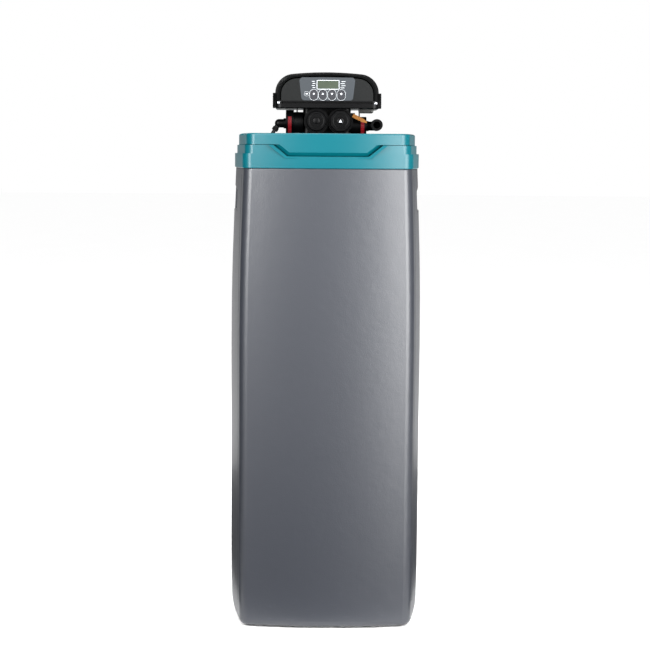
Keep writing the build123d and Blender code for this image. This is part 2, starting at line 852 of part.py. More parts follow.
cap_top_z = brine_top_z + brine_cap_wall
with BuildPart() as brine_well_cap:
    upright(brine_x, brine_y, cap_top_z - brine_cap_height, brine_cap_height,
            brine_radius + clearance + brine_cap_wall)
    upright(brine_x, brine_y, cap_top_z - brine_cap_height, brine_cap_height - brine_cap_wall,
            brine_radius + clearance, mode=Mode.SUBTRACT)
    upright(brine_x, brine_y, cap_top_z, tube_route[-1][2] - cap_top_z, pickup_radius + brine_cap_wall)
    upright(brine_x, brine_y, cap_top_z - brine_cap_wall, tube_route[-1][2] - cap_top_z + brine_cap_wall,
            pickup_radius, mode=Mode.SUBTRACT)

foot_z = inner_floor_z + brine_wall
with BuildPart() as pickup_tube:
    upright(brine_x, brine_y, foot_z, tube_route[-1][2] - clearance * 3 - foot_z, pickup_radius, pickup_bore)
    upright(brine_x, brine_y, foot_z, pickup_foot_height, pickup_foot_radius, pickup_bore)
    fillet(pickup_tube.edges().filter_by(GeomType.CIRCLE).sort_by(Axis.Z)[0:1], pickup_bore / 4)

float_z = foot_z + pickup_foot_height + clearance
with BuildPart() as brine_float:
    upright(brine_x, brine_y, float_z, float_height, float_radius, pickup_radius + running_gap)
    fillet(brine_float.faces().sort_by(Axis.Z)[-1].edges().sort_by(SortBy.LENGTH)[-1], float_height / 8)


def route_radii(points):
    """Radius of the arc at each inner point, from the shorter run and the tangent of half the turn."""
    radii = []
    for before, here, after in zip(points, points[1:], points[2:]):
        run_in = Vector(*here) - Vector(*before)
        run_out = Vector(*after) - Vector(*here)
        turn = radians(run_in.get_angle(run_out))
        radii.append(tube_bend_share * min(run_in.length, run_out.length) / tan(turn / 2))
    return radii


# Brine tube along its route, and the grommet that it passes through
tube_radii = route_radii(tube_route)
print("brine tube radii", [round(radius, 1) for radius in tube_radii])
with BuildPart() as brine_tube:
    with BuildLine() as tube_line:
        FilletPolyline(*tube_route, radius=tube_radii)
    with BuildSketch(Plane(origin=tube_line.line @ 0, z_dir=tube_line.line % 0)):
        Circle(tube_radius)
    sweep(path=tube_line.line)
tube_length = tube_line.wire().length
print("brine tube length", round(tube_length, 1), "volume share",
      round(brine_tube.part.volume / (pi * tube_radius**2 * tube_length), 4))

with BuildPart() as tube_grommet:
    grommet_low_z = well_floor_z - well_wall / 2 - grommet_height / 2
    upright(*grommet_place, grommet_low_z, grommet_height, grommet_radius)
    with BuildSketch(Plane.XY.offset(well_floor_z - well_wall)):
        with Locations(grommet_place):
            Circle(grommet_radius + overrun)
            Circle(grommet_groove, mode=Mode.SUBTRACT)
    extrude(amount=well_wall, mode=Mode.SUBTRACT)
    add(brine_tube.part, mode=Mode.SUBTRACT)

# Overflow elbow through the rear wall, and the nut inside the wall
spigot_y = rear_y + overflow_reach - overflow_radius
spigot_low_z = overflow_z - overflow_drop
with BuildPart() as overflow_elbow:
    inner_y = rear_y - cabinet_wall - overflow_nut_width - overflow_flange_width
    forward_bar(overflow_x, overflow_z, spigot_y, spigot_y - inner_y, overflow_radius)
    forward_bar(overflow_x, overflow_z, rear_y + overflow_flange_width, overflow_flange_width, overflow_flange)
    upright(overflow_x, spigot_y, spigot_low_z, overflow_drop, overflow_radius)
    upright(overflow_x, spigot_y, spigot_low_z + overflow_spigot_length,
            overflow_drop - overflow_spigot_length, overflow_collar_radius)
    with Locations((overflow_x, spigot_y, overflow_z)):
        Sphere(overflow_collar_radius)
    forward_bar(overflow_x, overflow_z, spigot_y, spigot_y - inner_y, overflow_bore, mode=Mode.SUBTRACT)
    upright(overflow_x, spigot_y, spigot_low_z, overflow_drop, overflow_bore, mode=Mode.SUBTRACT)

with BuildPart() as overflow_nut:
    with BuildSketch(Plane.XZ.offset(-rear_y + cabinet_wall)):
        with Locations((overflow_x, overflow_z)):
            RegularPolygon(overflow_flange, 6)
            Circle(overflow_radius, mode=Mode.SUBTRACT)
    extrude(amount=overflow_nut_width)

# Valve body on the neck: spigot, flange, main block, two front bosses, side ports and rear ports
flange_z = tank_top_z + seal_height
block_z = flange_z + neck_flange_height
post_xs = [station_xs[0] + (number - 0.5) * (station_xs[1] - station_xs[0]) for number in range(5)]
with BuildPart() as valve_body:
    upright(0, tank_y, flange_z, neck_flange_height, neck_flange_radius)
    with BuildSketch(Plane.XY.offset(block_z)):
        with Locations((0, (valve_front_y + valve_rear_y) / 2)):
            RectangleRounded(valve_width, valve_rear_y - valve_front_y, valve_corner)
    extrude(amount=valve_top_z - block_z)
    upright(0, tank_y, spigot_bottom_z, flange_z - spigot_bottom_z, neck_bore - clearance)
    upright(0, tank_y, spigot_bottom_z, neck_height - clearance, riser_radius + running_gap,
            mode=Mode.SUBTRACT)
    for boss_x in (injector_boss_x, flow_boss_x):
        forward_bar(boss_x, boss_z, valve_front_y, valve_front_y - boss_front_y, boss_radius)
    block((-boss_radius - flow_boss_x, boss_radius + flow_boss_x), (boss_front_y, valve_front_y),
          (valve_top_z, valve_top_z + overrun), mode=Mode.SUBTRACT)
    for boss_x in (injector_boss_x, flow_boss_x):
        forward_bar(boss_x, boss_z, boss_front_y + boss_bore_depth, boss_bore_depth, boss_bore,
                    mode=Mode.SUBTRACT)
    brine_port_start = -brine_plug_x + plug_width / 2
    axle(branch_y, port_z, brine_port_start, -valve_width / 2 - brine_port_start, brine_port_radius)
    axle(branch_y, drain_plug_z, valve_width / 2, drain_plug_x - plug_width / 2 - valve_width / 2,
         drain_plug_radius - clearance)
    for port_x in (-tail_x, tail_x):
        forward_bar(port_x, port_z, valve_rear_y + rear_port_length, rear_port_length, rear_port_radius)
        forward_bar(port_x, port_z, valve_rear_y + rear_port_length, rear_port_length * 3, tail_bore,
                    mode=Mode.SUBTRACT)
    for place in tray_screw_places:
        upright(*place, valve_top_z + tray_wall - screw_length, screw_length, screw_shank_radius,
                mode=Mode.SUBTRACT)
    # Lug that the strap's peg enters
    block((valve_width / 2 - clearance, valve_width / 2 + strap_lug_width),
          (valve_front_y - strap_lug_depth / 2, valve_front_y + strap_lug_depth),
          (strap_start[1] - strap_lug_height / 2, strap_start[1] + strap_lug_height / 2))
    # Posts and the pin that the flappers turn on
    for post_x in post_xs:
        block((post_x - flapper_post_width / 2, post_x + flapper_post_width / 2),
              (flapper_pin_y - flapper_knuckle_radius, flapper_pin_y + flapper_knuckle_radius),
              (valve_top_z, flapper_pin_z + flapper_knuckle_radius))
    pin_half = post_xs[-1] + flapper_post_width
    axle(flapper_pin_y, flapper_pin_z, -pin_half, pin_half * 2, flapper_pin_radius)

with BuildPart() as neck_seal:
    upright(0, tank_y, tank_top_z, seal_height, neck_radius, neck_bore)

# Injector and flow control, each in its boss, and the two front caps
with BuildPart() as injector:
    forward_bar(injector_boss_x, boss_z, boss_front_y + boss_bore_depth, injector_length, injector_radius,
                nozzle_bore)

with BuildPart() as flow_control:
    forward_bar(flow_boss_x, boss_z, boss_front_y + boss_bore_depth, flow_control_length,
                flow_control_radius, nozzle_bore)


def cap_details(axis_x):
    """Stem that enters the boss, and the raised ring on the cap's front."""
    forward_bar(axis_x, boss_z, boss_front_y + cap_stem_length, cap_stem_length, cap_stem_radius)
    forward_bar(axis_x, boss_z, boss_front_y - cap_width, cap_ring_depth, cap_ring_radius,
                cap_ring_radius - cap_ring_wall)


with BuildPart() as injector_cap:
    forward_bar(injector_boss_x, boss_z, boss_front_y, cap_width, cap_radius)
    chamfer(injector_cap.faces().sort_by(Axis.Y)[0].edges(), cap_ring_depth)
    cap_details(injector_boss_x)

with BuildPart() as flow_cap:
    with BuildSketch(Plane.XZ.offset(-boss_front_y)):
        with Locations((flow_boss_x, boss_z)):
            RegularPolygon(flow_cap_radius, flow_cap_sides, rotation=180 / flow_cap_sides)
    extrude(amount=cap_width)
    chamfer(flow_cap.faces().sort_by(Axis.Y)[0].edges(), cap_ring_depth)
    cap_details(flow_boss_x)


def turned(angle, radius, axis_z):
    """Point in the YZ plane at an angle below the forward direction, round a branch's axis."""
    return (branch_y - radius * cos(radians(angle)), axis_z - radius * sin(radians(angle)))


def sector(first_angle, last_angle, inner, outer, axis_z):
    """Ring sector in the YZ plane, between two angles below the forward direction."""
    middle = (first_angle + last_angle) / 2
    with BuildSketch() as piece:
        with BuildLine():
            Line(turned(first_angle, inner, axis_z), turned(first_angle, outer, axis_z))
            ThreePointArc(turned(first_angle, outer, axis_z), turned(middle, outer, axis_z),
                          turned(last_angle, outer, axis_z))
            Line(turned(last_angle, outer, axis_z), turned(last_angle, inner, axis_z))
            ThreePointArc(turned(last_angle, inner, axis_z), turned(middle, inner, axis_z),
                          turned(first_angle, inner, axis_z))
        make_face()
    return piece.sketch


def plug_valve(axis_x, axis_z, radius):
    """Round housing with a slot that a lever's disc turns in."""
    hub = radius * lever_hub_share + clearance
    axle(branch_y, axis_z, axis_x - plug_width / 2, plug_width, radius)
    axle(branch_y, axis_z, axis_x - lever_width / 2 - clearance, lever_width + clearance * 2, hub,
         mode=Mode.SUBTRACT)
    axle(branch_y, axis_z, axis_x - plug_width / 2, plug_width, lever_trunnion_radius + running_gap,
         mode=Mode.SUBTRACT)
    gap_angle = clearance / hub * 180 / pi
    with BuildSketch(Plane.YZ.offset(axis_x - lever_width / 2 - clearance)) as slot:
        add(sector(-lever_top_angle - gap_angle, lever_bottom_angle + lever_turn + gap_angle,
                   hub - clearance * 2, radius + overrun, axis_z))
    extrude(slot.sketch, amount=lever_width + clearance * 2, mode=Mode.SUBTRACT)


def plug_lever(axis_x, axis_z, radius):
    """Disc with a tab whose grip wraps over the rim of the housing."""
    hub = radius * lever_hub_share
    axle(branch_y, axis_z, axis_x - lever_width / 2, lever_width, hub)
    axle(branch_y, axis_z, axis_x - plug_width / 2, plug_width, lever_trunnion_radius)
    with BuildSketch(Plane.YZ.offset(axis_x - lever_width / 2)) as tab:
        add(sector(-lever_top_angle, lever_bottom_angle, hub / 2, radius + clearance * 2, axis_z))
    extrude(tab.sketch, amount=lever_width)
    with BuildSketch(Plane.YZ.offset(axis_x - lever_grip_width / 2)) as grip:
        add(sector(-lever_top_angle, lever_bottom_angle, radius + clearance,
                   radius + clearance + lever_grip_height, axis_z))
    extrude(grip.sketch, amount=lever_grip_width)


with BuildPart() as brine_valve:
    plug_valve(-brine_plug_x, brine_plug_z, brine_plug_radius)

with BuildPart() as brine_lever:
    plug_lever(-brine_plug_x, brine_plug_z, brine_plug_radius)

with BuildPart() as drain_valve:
    plug_valve(drain_plug_x, drain_plug_z, drain_plug_radius)

with BuildPart() as drain_lever:
    plug_lever(drain_plug_x, drain_plug_z, drain_plug_radius)

# Brine elbow: a stub on the housing, a round corner, and a spigot along the tube's first run
tube_start = Vector(*tube_route[0])
tube_heading = (Vector(*tube_route[1]) - tube_start).normalized()
corner = Vector(-brine_elbow_x, branch_y, tube_route[0][2] + elbow_radius)
spigot_axis = Plane(origin=tube_start, z_dir=tube_heading)
with BuildPart() as brine_elbow:
    axle(branch_y, corner.Z, -brine_elbow_x, brine_elbow_x - brine_plug_x - plug_width / 2, elbow_radius)
    axle(branch_y, corner.Z, -brine_plug_x - plug_width / 2 - elbow_ring_width, elbow_ring_width,
         elbow_ring_radius)
    with Locations(corner):
        Sphere(elbow_radius)
    with BuildSketch(spigot_axis):
        Circle(brine_nut_radius - clearance * 3)
    extrude(amount=-(tube_start - corner).length, mode=Mode.ADD)
    with BuildSketch(spigot_axis):
        Circle(tube_radius)
    extrude(amount=-brine_nut_length, mode=Mode.SUBTRACT)

with BuildPart() as brine_nut:
    with BuildSketch(spigot_axis):
        RegularPolygon(brine_nut_radius, 6)
        Circle(tube_radius, mode=Mode.SUBTRACT)
    extrude(amount=brine_nut_length)

# Drain elbow: a stub on the housing and an open spigot that faces the front
drain_stub_x = drain_plug_x + plug_width / 2
with BuildPart() as drain_elbow:
    axle(branch_y, drain_plug_z, drain_stub_x, drain_elbow_x - drain_stub_x, drain_stub_radius)
    axle(branch_y, drain_plug_z, drain_stub_x, elbow_ring_width, drain_stub_collar)
    forward_bar(drain_elbow_x, drain_elbow_z, branch_y + drain_elbow_radius,
                branch_y + drain_elbow_radius - drain_port_front_y, drain_elbow_radius)
    fillet(drain_elbow.faces().sort_by(Axis.Y)[-1].edges(), drain_elbow_radius / 3)
    forward_bar(drain_elbow_x, drain_elbow_z, drain_port_front_y + drain_port_depth, drain_port_depth,
                drain_port_bore, mode=Mode.SUBTRACT)
    axle(branch_y, drain_plug_z, drain_stub_x, drain_elbow_x - drain_stub_x, drain_port_bore - cap_ring_wall,
         mode=Mode.SUBTRACT)

# Amber ribbed strap, held by one peg on the valve body and one on the drain housing
strap_length = dist(strap_start, strap_end)
strap_angle = atan2(strap_end[1] - strap_start[1], strap_end[0] - strap_start[0])
strap_plane = Plane(
    origin=(strap_start[0], strap_y, strap_start[1]),
    x_dir=(cos(strap_angle), 0, sin(strap_angle)),
    z_dir=(0, -1, 0),
)
with BuildPart() as drain_strap:
    with BuildSketch(strap_plane):
        with BuildLine():
            Polyline(
                (0, -strap_width / 2),
                (strap_length * 2 / 3, -strap_width / 2),
                (strap_length, -strap_width / 5),
                (strap_length, strap_width / 5),
                (strap_length * 2 / 3, strap_width / 2),
                (0, strap_width / 2),
                close=True,
            )
        make_face()
    extrude(amount=-strap_thickness)
    rib_pitch = strap_length * 2 / 3 / strap_ribs
    with BuildSketch(strap_plane):
        for number in range(strap_ribs):
            with Locations((rib_pitch * (number + 0.5), 0)):
                Rectangle(rib_pitch / 2, strap_width)
    extrude(amount=strap_rib_height)
    peg_lengths = (
        valve_front_y - strap_lug_depth / 2 - strap_y,
        branch_y - strap_y - drain_plug_radius * strap_peg_sink_share,
    )
    for peg_share, peg_length in zip(strap_peg_shares, peg_lengths):
        with BuildSketch(strap_plane):
            with Locations((strap_length * peg_share, strap_width / 4)):
                Circle(strap_peg_radius)
        extrude(amount=-peg_length)

# Tails at the rear: flanged tubes, each held by a union nut
nut_front_y = valve_rear_y + rear_port_length - union_nut_length / 2
tail_front_y = valve_rear_y + rear_port_length

with BuildPart() as pipe_tails:
    for side in (-1, 1):
        forward_bar(side * tail_x, port_z, tail_rear_y, tail_thread_length, tail_radius, tail_bore)
        forward_bar(side * tail_x, port_z, tail_rear_y - tail_thread_length,
                    tail_rear_y - tail_thread_length - tail_front_y, tail_relief_radius, tail_bore)
        forward_bar(side * tail_x, port_z, tail_front_y + tail_flange_width, tail_flange_width,
                    tail_flange_radius, tail_bore)

with BuildPart() as union_nuts:
    nut_rear_y = nut_front_y + union_nut_length
    for nut_x in (-tail_x, tail_x):
        forward_bar(nut_x, port_z, nut_rear_y, union_nut_length, union_nut_radius,
                    rear_port_radius + clearance)
        forward_bar(nut_x, port_z, nut_rear_y, nut_rear_y - tail_front_y - tail_flange_width - clearance,
                    union_nut_radius, tail_radius + clearance)

# Control head: tray with its dark groove, a window over the flappers and a hole for the motor
motor_y = cam_y - gear_module * (drive_teeth + pinion_teeth) / 2 * cos(radians(pinion_angle))
motor_z = cam_z - gear_module * (drive_teeth + pinion_teeth) / 2 * sin(radians(pinion_angle))
housing_x = motor_front_x + motor_length / 2
with BuildPart() as head_tray:
    with BuildSketch(Plane.XY.offset(tray_bottom_z)):
        with Locations((0, (head_front_y + head_rear_y) / 2)):
            RectangleRounded(head_half_width * 2, head_depth, tray_corner)
    extrude(amount=tray_height)
    chamfer(head_tray.faces().sort_by(Axis.Z)[0].edges(), tray_wall / 2)
    with BuildSketch(Plane.XY.offset(tray_bottom_z + tray_wall)):
        with Locations((0, (head_front_y + head_rear_y) / 2)):
            RectangleRounded(head_half_width * 2 - tray_wall * 4, head_depth - tray_wall * 4,
                             tray_corner - tray_wall * 2)
    extrude(amount=tray_height, mode=Mode.SUBTRACT)
    block((-tray_window_width / 2, tray_window_width / 2), (tray_window_front_y, tray_window_rear_y),
          (tray_bottom_z, tray_bottom_z + tray_wall), mode=Mode.SUBTRACT)
    block((housing_x - housing_width / 2 - clearance, housing_x + housing_width / 2 + clearance),
          (motor_y - housing_depth / 2 - clearance, motor_y + housing_depth / 2 + clearance),
          (tray_bottom_z, tray_bottom_z + tray_wall), mode=Mode.SUBTRACT)
    block((-head_half_width + tray_corner, head_half_width - tray_corner),
          (head_front_y, head_front_y + tray_groove_depth),
          (tray_groove_z - tray_groove_height / 2, tray_groove_z + tray_groove_height / 2),
          mode=Mode.SUBTRACT)
    forward_bar(gland_x, gland_z, head_rear_y, tray_wall * 3, gland_radius - cap_ring_wall,
                mode=Mode.SUBTRACT)
    # Two posts that carry the camshaft
    for bearing_side in (-1, 1):
        start_x = bearing_side * bearing_x - bearing_width / 2
        block((start_x, start_x + bearing_width), (cam_y - bearing_half_depth, cam_y + bearing_half_depth),
              (tray_bottom_z, cam_z + bearing_half_depth))
        axle(cam_y, cam_z, start_x, bearing_width, cam_radius + running_gap, mode=Mode.SUBTRACT)
    for place in tray_screw_places:
        upright(*place, tray_bottom_z, tray_wall, screw_shank_radius + clearance, mode=Mode.SUBTRACT)


def arch(half_width, height, corner):
    """Front view of the cover or the panel: upright sides, a crowned top and round shoulders."""
    shoulder = height - cover_crown
    with BuildSketch() as face:
        with BuildLine():
            Line((-half_width, 0), (half_width, 0))
            Line((half_width, 0), (half_width, shoulder))
            ThreePointArc((half_width, shoulder), (0, height), (-half_width, shoulder))
            Line((-half_width, shoulder), (-half_width, 0))
        make_face()
        fillet(face.vertices().filter_by(lambda vertex: vertex.Y > shoulder / 2), corner)
    return face.sketch


def loft_cover(inset, front_place, rear_place):
    """Loft the cover's arches, drawn in by a wall, between two depths."""
    sections = []
    for depth_share, width_share, height_share in cover_arch_shares:
        depth = front_place + (rear_place - front_place) * depth_share
        height = (cover_top_z - tray_top_z) * height_share - inset
        corner = min(cover_corner - inset, (height - cover_crown) * cover_corner_share)
        with BuildSketch(Plane(origin=(0, depth, tray_top_z), x_dir=(1, 0, 0), z_dir=(0, -1, 0))) as level:
            add(arch(head_half_width * width_share - inset, height, corner))
        sections.append(level.sketch)
    loft(sections)


# Smoked cover: a shell open at the front and below, with a latch ear on each side
with BuildPart() as cover_cavity:
    loft_cover(cover_wall, head_front_y, head_rear_y - cover_wall)

with BuildPart() as head_cover:
    loft_cover(0.0, head_front_y, head_rear_y)
    add(cover_cavity.part, mode=Mode.SUBTRACT)
    ear_span = (ear_front_y, ear_front_y + ear_length)
    ear_inner_x = head_half_width + clearance
    ear_outer_x = ear_inner_x + ear_thickness
    block((ear_inner_x, ear_outer_x), ear_span, (ear_bottom_z, ear_top_z))
    block((-ear_outer_x, -ear_inner_x), ear_span, (ear_bottom_z, ear_top_z))
    block((head_half_width - cover_wall, ear_outer_x), ear_span, (tray_top_z + clearance, ear_top_z))
    block((-ear_outer_x, cover_wall - head_half_width), ear_span, (tray_top_z + clearance, ear_top_z))

# Front panel in the cover's front arch, its overlay and the display window
panel_front_y = head_front_y + panel_recess
panel_rear_y = panel_front_y + panel_thickness
front_plane = Plane(origin=(0, panel_rear_y, tray_top_z), x_dir=(1, 0, 0), z_dir=(0, -1, 0))
button_places = [(button_x, button_z - tray_top_z) for button_x in button_xs]
display_place = (display_x, display_z - tray_top_z)
with BuildPart() as front_panel:
    with BuildSketch(front_plane):
        add(arch(panel_half_width, panel_top_z - tray_top_z, panel_corner))
        with Locations(display_place):
            Rectangle(display_width + clearance * 2, display_height + clearance * 2, mode=Mode.SUBTRACT)
        with Locations(*button_places):
            SlotOverall(button_height + clearance * 2, button_width + clearance * 2, rotation=90,
                        mode=Mode.SUBTRACT)
    extrude(amount=panel_thickness)
    with BuildSketch(front_plane):
        with Locations(*standoff_places):
            Circle(standoff_radius)
    extrude(amount=-(pad_sheet + board_gap))
    with BuildSketch(front_plane):
        for side in (-1, 1):
            with Locations((side * (panel_half_width - standoff_radius * 3), standoff_radius)):
                Rectangle(standoff_radius * 4, standoff_radius * 2)
    extrude(amount=-(tray_wall * 3))

with BuildPart() as panel_overlay:
    with BuildSketch(front_plane.offset(panel_thickness)) as overlay_face:
        with BuildLine():
            Polyline(
                (-overlay_bottom_half, overlay_bottom_z - tray_top_z),
                (overlay_bottom_half, overlay_bottom_z - tray_top_z),
                (overlay_top_half, overlay_top_z - tray_top_z),
                (-overlay_top_half, overlay_top_z - tray_top_z),
                close=True,
            )
        make_face()
        fillet(overlay_face.vertices(), overlay_corner)
        with Locations(display_place):
            Rectangle(display_width + clearance * 2, display_height + clearance * 2, mode=Mode.SUBTRACT)
        with Locations(*button_places):
            SlotOverall(button_height + clearance * 2, button_width + clearance * 2, rotation=90,
                        mode=Mode.SUBTRACT)
    extrude(amount=overlay_thickness)

with BuildPart() as display_window:
    with BuildSketch(front_plane):
        with Locations(display_place):
            Rectangle(display_width, display_height)
    extrude(amount=panel_thickness + overlay_thickness)

# Rubber key pad, circuit board with its display cell, and the four buttons
with BuildPart() as key_pad:
    with BuildSketch(front_plane.offset(-pad_sheet - button_flange - button_travel - clearance)):
        with Locations((0, button_z - tray_top_z)):
            Rectangle(board_width * 2 / 3, button_height)
    extrude(amount=pad_sheet)

board_plane = front_plane.offset(-pad_sheet - board_gap)
with BuildPart() as circuit_board:
    with BuildSketch(board_plane.offset(-board_thickness)):
        with Locations((0, board_centre_z - tray_top_z)):
            Rectangle(board_width, board_height)
    extrude(amount=board_thickness)
    with BuildSketch(board_plane):
        with Locations(display_place):
            Rectangle(display_width + cap_ring_wall, display_height + cap_ring_wall)
    extrude(amount=pad_sheet + board_gap - clearance)

button_parts = []
for button_place in button_places:
    with BuildPart() as button:
        with BuildSketch(front_plane.offset(-button_flange)):
            with Locations(button_place):
                SlotOverall(button_height + cap_ring_wall, button_width + cap_ring_wall, rotation=90)
        extrude(amount=button_flange - clearance / 3)
        with BuildSketch(front_plane.offset(-button_flange)):
            with Locations(button_place):
                SlotOverall(button_height, button_width, rotation=90)
        extrude(amount=button_flange + panel_thickness + overlay_thickness + button_stand)
        fillet(button.faces().sort_by(Axis.Y)[0].edges(), button_stand)
    button_parts.append(button)

# Camshaft with its lobes, the drive gear on it, the pinion and the motor
with BuildPart() as camshaft:
    axle(cam_y, cam_z, -cam_half_length, cam_half_length * 2 + gear_width / 2, cam_radius)
    for number, station_x in enumerate(station_xs):
        lobe_angle = 360 / len(station_xs) * number + lobe_first_angle
        with BuildSketch(Plane.YZ.offset(station_x - lobe_width / 2)) as lobe:
            with Locations((cam_y, cam_z)):
                Circle(lobe_base_radius)
                with PolarLocations(lobe_offset, 1, start_angle=lobe_angle):
                    Circle(lobe_radius - lobe_offset)
        extrude(amount=lobe_width)


def gear_face(teeth, bore, turn):
    """Straight-sided gear outline, one tooth centred on an angle in degrees."""
    pitch_radius = gear_module * teeth / 2
    levels = ((pitch_radius - gear_module * root_share, tooth_root_share),
              (pitch_radius, tooth_pitch_share),
              (pitch_radius + gear_module * tip_share, tooth_tip_share))
    points = []
    for tooth in range(teeth):
        middle = radians(turn) + 2 * pi / teeth * tooth
        for radius, share in levels:
            points.append((radius * cos(middle - pi / teeth * share), radius * sin(middle - pi / teeth * share)))
        for radius, share in reversed(levels):
            points.append((radius * cos(middle + pi / teeth * share), radius * sin(middle + pi / teeth * share)))
    with BuildSketch() as face:
        with BuildLine():
            Polyline(*points, close=True)
        make_face()
        Circle(bore, mode=Mode.SUBTRACT)
    return face.sketch


with BuildPart() as drive_gear:
    with BuildSketch(Plane(origin=(gear_x - gear_width / 2, cam_y, cam_z), x_dir=(0, 1, 0), z_dir=(1, 0, 0))):
        add(gear_face(drive_teeth, cam_radius, 180 + pinion_angle))
    extrude(amount=gear_width)

with BuildPart() as pinion:
    with BuildSketch(Plane(origin=(gear_x - gear_width / 2, motor_y, motor_z), x_dir=(0, 1, 0),
                           z_dir=(1, 0, 0))):
        add(gear_face(pinion_teeth, motor_shaft_radius, pinion_angle + 180 / pinion_teeth))
    extrude(amount=gear_width)

with BuildPart() as motor:
    axle(motor_y, motor_z, motor_front_x, motor_length, motor_radius)
    axle(motor_y, motor_z, gear_x - gear_width / 2, motor_front_x - gear_x + gear_width / 2,
         motor_shaft_radius - running_gap)

with BuildPart() as motor_housing:
    outer_x = (housing_x - housing_width / 2, housing_x + housing_width / 2)
    outer_y = (motor_y - housing_depth / 2, motor_y + housing_depth / 2)
    block(outer_x, outer_y, (housing_bottom_z, tray_bottom_z + tray_wall))
    fillet(motor_housing.edges().filter_by(Axis.X).sort_by(Axis.Z)[:2], housing_wall * 2)
    fillet(motor_housing.edges().filter_by(Axis.Y).sort_by(Axis.Z)[:2], housing_wall * 2)
    block((outer_x[0] + housing_wall, outer_x[1] - housing_wall),
          (outer_y[0] + housing_wall, outer_y[1] - housing_wall),
          (housing_bottom_z + housing_wall, tray_bottom_z + tray_wall), mode=Mode.SUBTRACT)
    # Cradle that the motor lies on, open above
    block((housing_x - housing_wall, housing_x + housing_wall),
          (outer_y[0] + housing_wall, outer_y[1] - housing_wall),
          (housing_bottom_z + housing_wall, tray_bottom_z + tray_wall))
    axle(motor_y, motor_z, outer_x[0], housing_width, motor_radius + running_gap, mode=Mode.SUBTRACT)

# Flappers on their pin, and the spring plate under them
flapper_parts = []
for station_x in station_xs:
    with BuildPart() as flapper:
        start_x = station_x - flapper_width / 2
        axle(flapper_pin_y, flapper_pin_z, start_x, flapper_width, flapper_knuckle_radius)
        block((start_x, start_x + flapper_width), (flapper_pin_y - flapper_length, flapper_pin_y),
              (flapper_pin_z - flapper_thickness / 2, flapper_pin_z + flapper_thickness / 2))
        axle(flapper_pin_y, flapper_pin_z, start_x, flapper_width, flapper_pin_radius + running_gap,
             mode=Mode.SUBTRACT)
    flapper_parts.append(flapper)

with BuildPart() as spring_plate:
    plate_front_y = tray_window_front_y + clearance * 2
    block((station_xs[0] - lobe_width, station_xs[-1] + lobe_width),
          (plate_front_y, flapper_pin_y - flapper_knuckle_radius * 2), (valve_top_z, valve_top_z + spring_sheet))
    for station_x in station_xs:
        with BuildSketch(Plane.YZ.offset(station_x - spring_finger_width / 2)):
            with BuildLine():
                Polyline(
                    (plate_front_y + flapper_length / 2, valve_top_z + spring_sheet / 2),
                    (cam_y - lobe_radius / 2, valve_top_z + spring_finger_rise),
                    (cam_y - lobe_radius / 2, valve_top_z + spring_finger_rise + spring_sheet),
                    (plate_front_y + flapper_length / 2 - spring_sheet * 2, valve_top_z + spring_sheet / 2),
                    close=True,
                )
            make_face()
        extrude(amount=spring_finger_width)

# Two sensor leads under the tray, the gland of the power cord and the screws
with BuildPart() as sensor_leads:
    left_top = port_z + brine_port_radius
    upright(left_lead_x + plug_width / 3, branch_y, left_top, tray_bottom_z - left_top, lead_radius)
    right_top = drain_plug_z + drain_plug_radius
    upright(right_lead_x, branch_y, right_top, tray_bottom_z - right_top, lead_radius)

with BuildPart() as cable_gland:
    forward_bar(gland_x, gland_z, head_rear_y + gland_reach, gland_reach, gland_radius, gland_bore)
    forward_bar(gland_x, gland_z, head_rear_y, tray_wall * 2, gland_neck_radius, gland_bore)
    fillet(cable_gland.faces().sort_by(Axis.Y)[-1].edges().sort_by(SortBy.LENGTH)[-1], cap_ring_wall)

with BuildPart() as head_screws:
    for place in tray_screw_places:
        upright(*place, tray_bottom_z + tray_wall, screw_head_height, screw_head_radius)
        upright(*place, tray_bottom_z + tray_wall - screw_length, screw_length, screw_shank_radius)
    for screw_x, screw_height in standoff_places:
        forward_bar(screw_x, tray_top_z + screw_height, board_rear_y + screw_head_height, screw_head_height,
                    screw_head_radius)

pieces = {
    "cabinet": cabinet,
    "foot_pads": foot_pads,
    "deck": deck,
    "salt_lid": salt_lid,
    "lid_hinge_pins": lid_hinge_pins,
    "resin_tank": resin_tank,
    "tank_boot": tank_boot,
    "resin_bed": resin_bed,
    "riser_tube": riser_tube,
    "bottom_distributor": bottom_distributor,
    "top_strainer": top_strainer,
    "salt_grid": salt_grid,
    "brine_well": brine_well,
    "brine_well_cap": brine_well_cap,
    "pickup_tube": pickup_tube,
    "brine_float": brine_float,
    "brine_tube": brine_tube,
    "tube_grommet": tube_grommet,
    "overflow_elbow": overflow_elbow,
    "overflow_nut": overflow_nut,
    "valve_body": valve_body,
    "neck_seal": neck_seal,
    "injector": injector,
    "flow_control": flow_control,
    "injector_cap": injector_cap,
    "flow_cap": flow_cap,
    "brine_valve": brine_valve,
    "brine_lever": brine_lever,
    "brine_elbow": brine_elbow,
    "brine_nut": brine_nut,
    "drain_valve": drain_valve,
    "drain_lever": drain_lever,
    "drain_elbow": drain_elbow,
    "drain_strap": drain_strap,
    "pipe_tails": pipe_tails,
    "union_nuts": union_nuts,
    "head_tray": head_tray,
    "head_cover": head_cover,
    "front_panel": front_panel,
    "panel_overlay": panel_overlay,
    "display_window": display_window,
    "key_pad": key_pad,
    "circuit_board": circuit_board,
    "camshaft": camshaft,
    "drive_gear": drive_gear,
    "pinion": pinion,
    "motor": motor,
    "motor_housing": motor_housing,
    "spring_plate": spring_plate,
    "sensor_leads": sensor_leads,
    "cable_gland": cable_gland,
    "head_screws": head_screws,
}
for number, button in enumerate(button_parts):
    pieces[f"button_{number + 1}"] = button
for number, flapper in enumerate(flapper_parts):
    pieces[f"flapper_{number + 1}"] = flapper

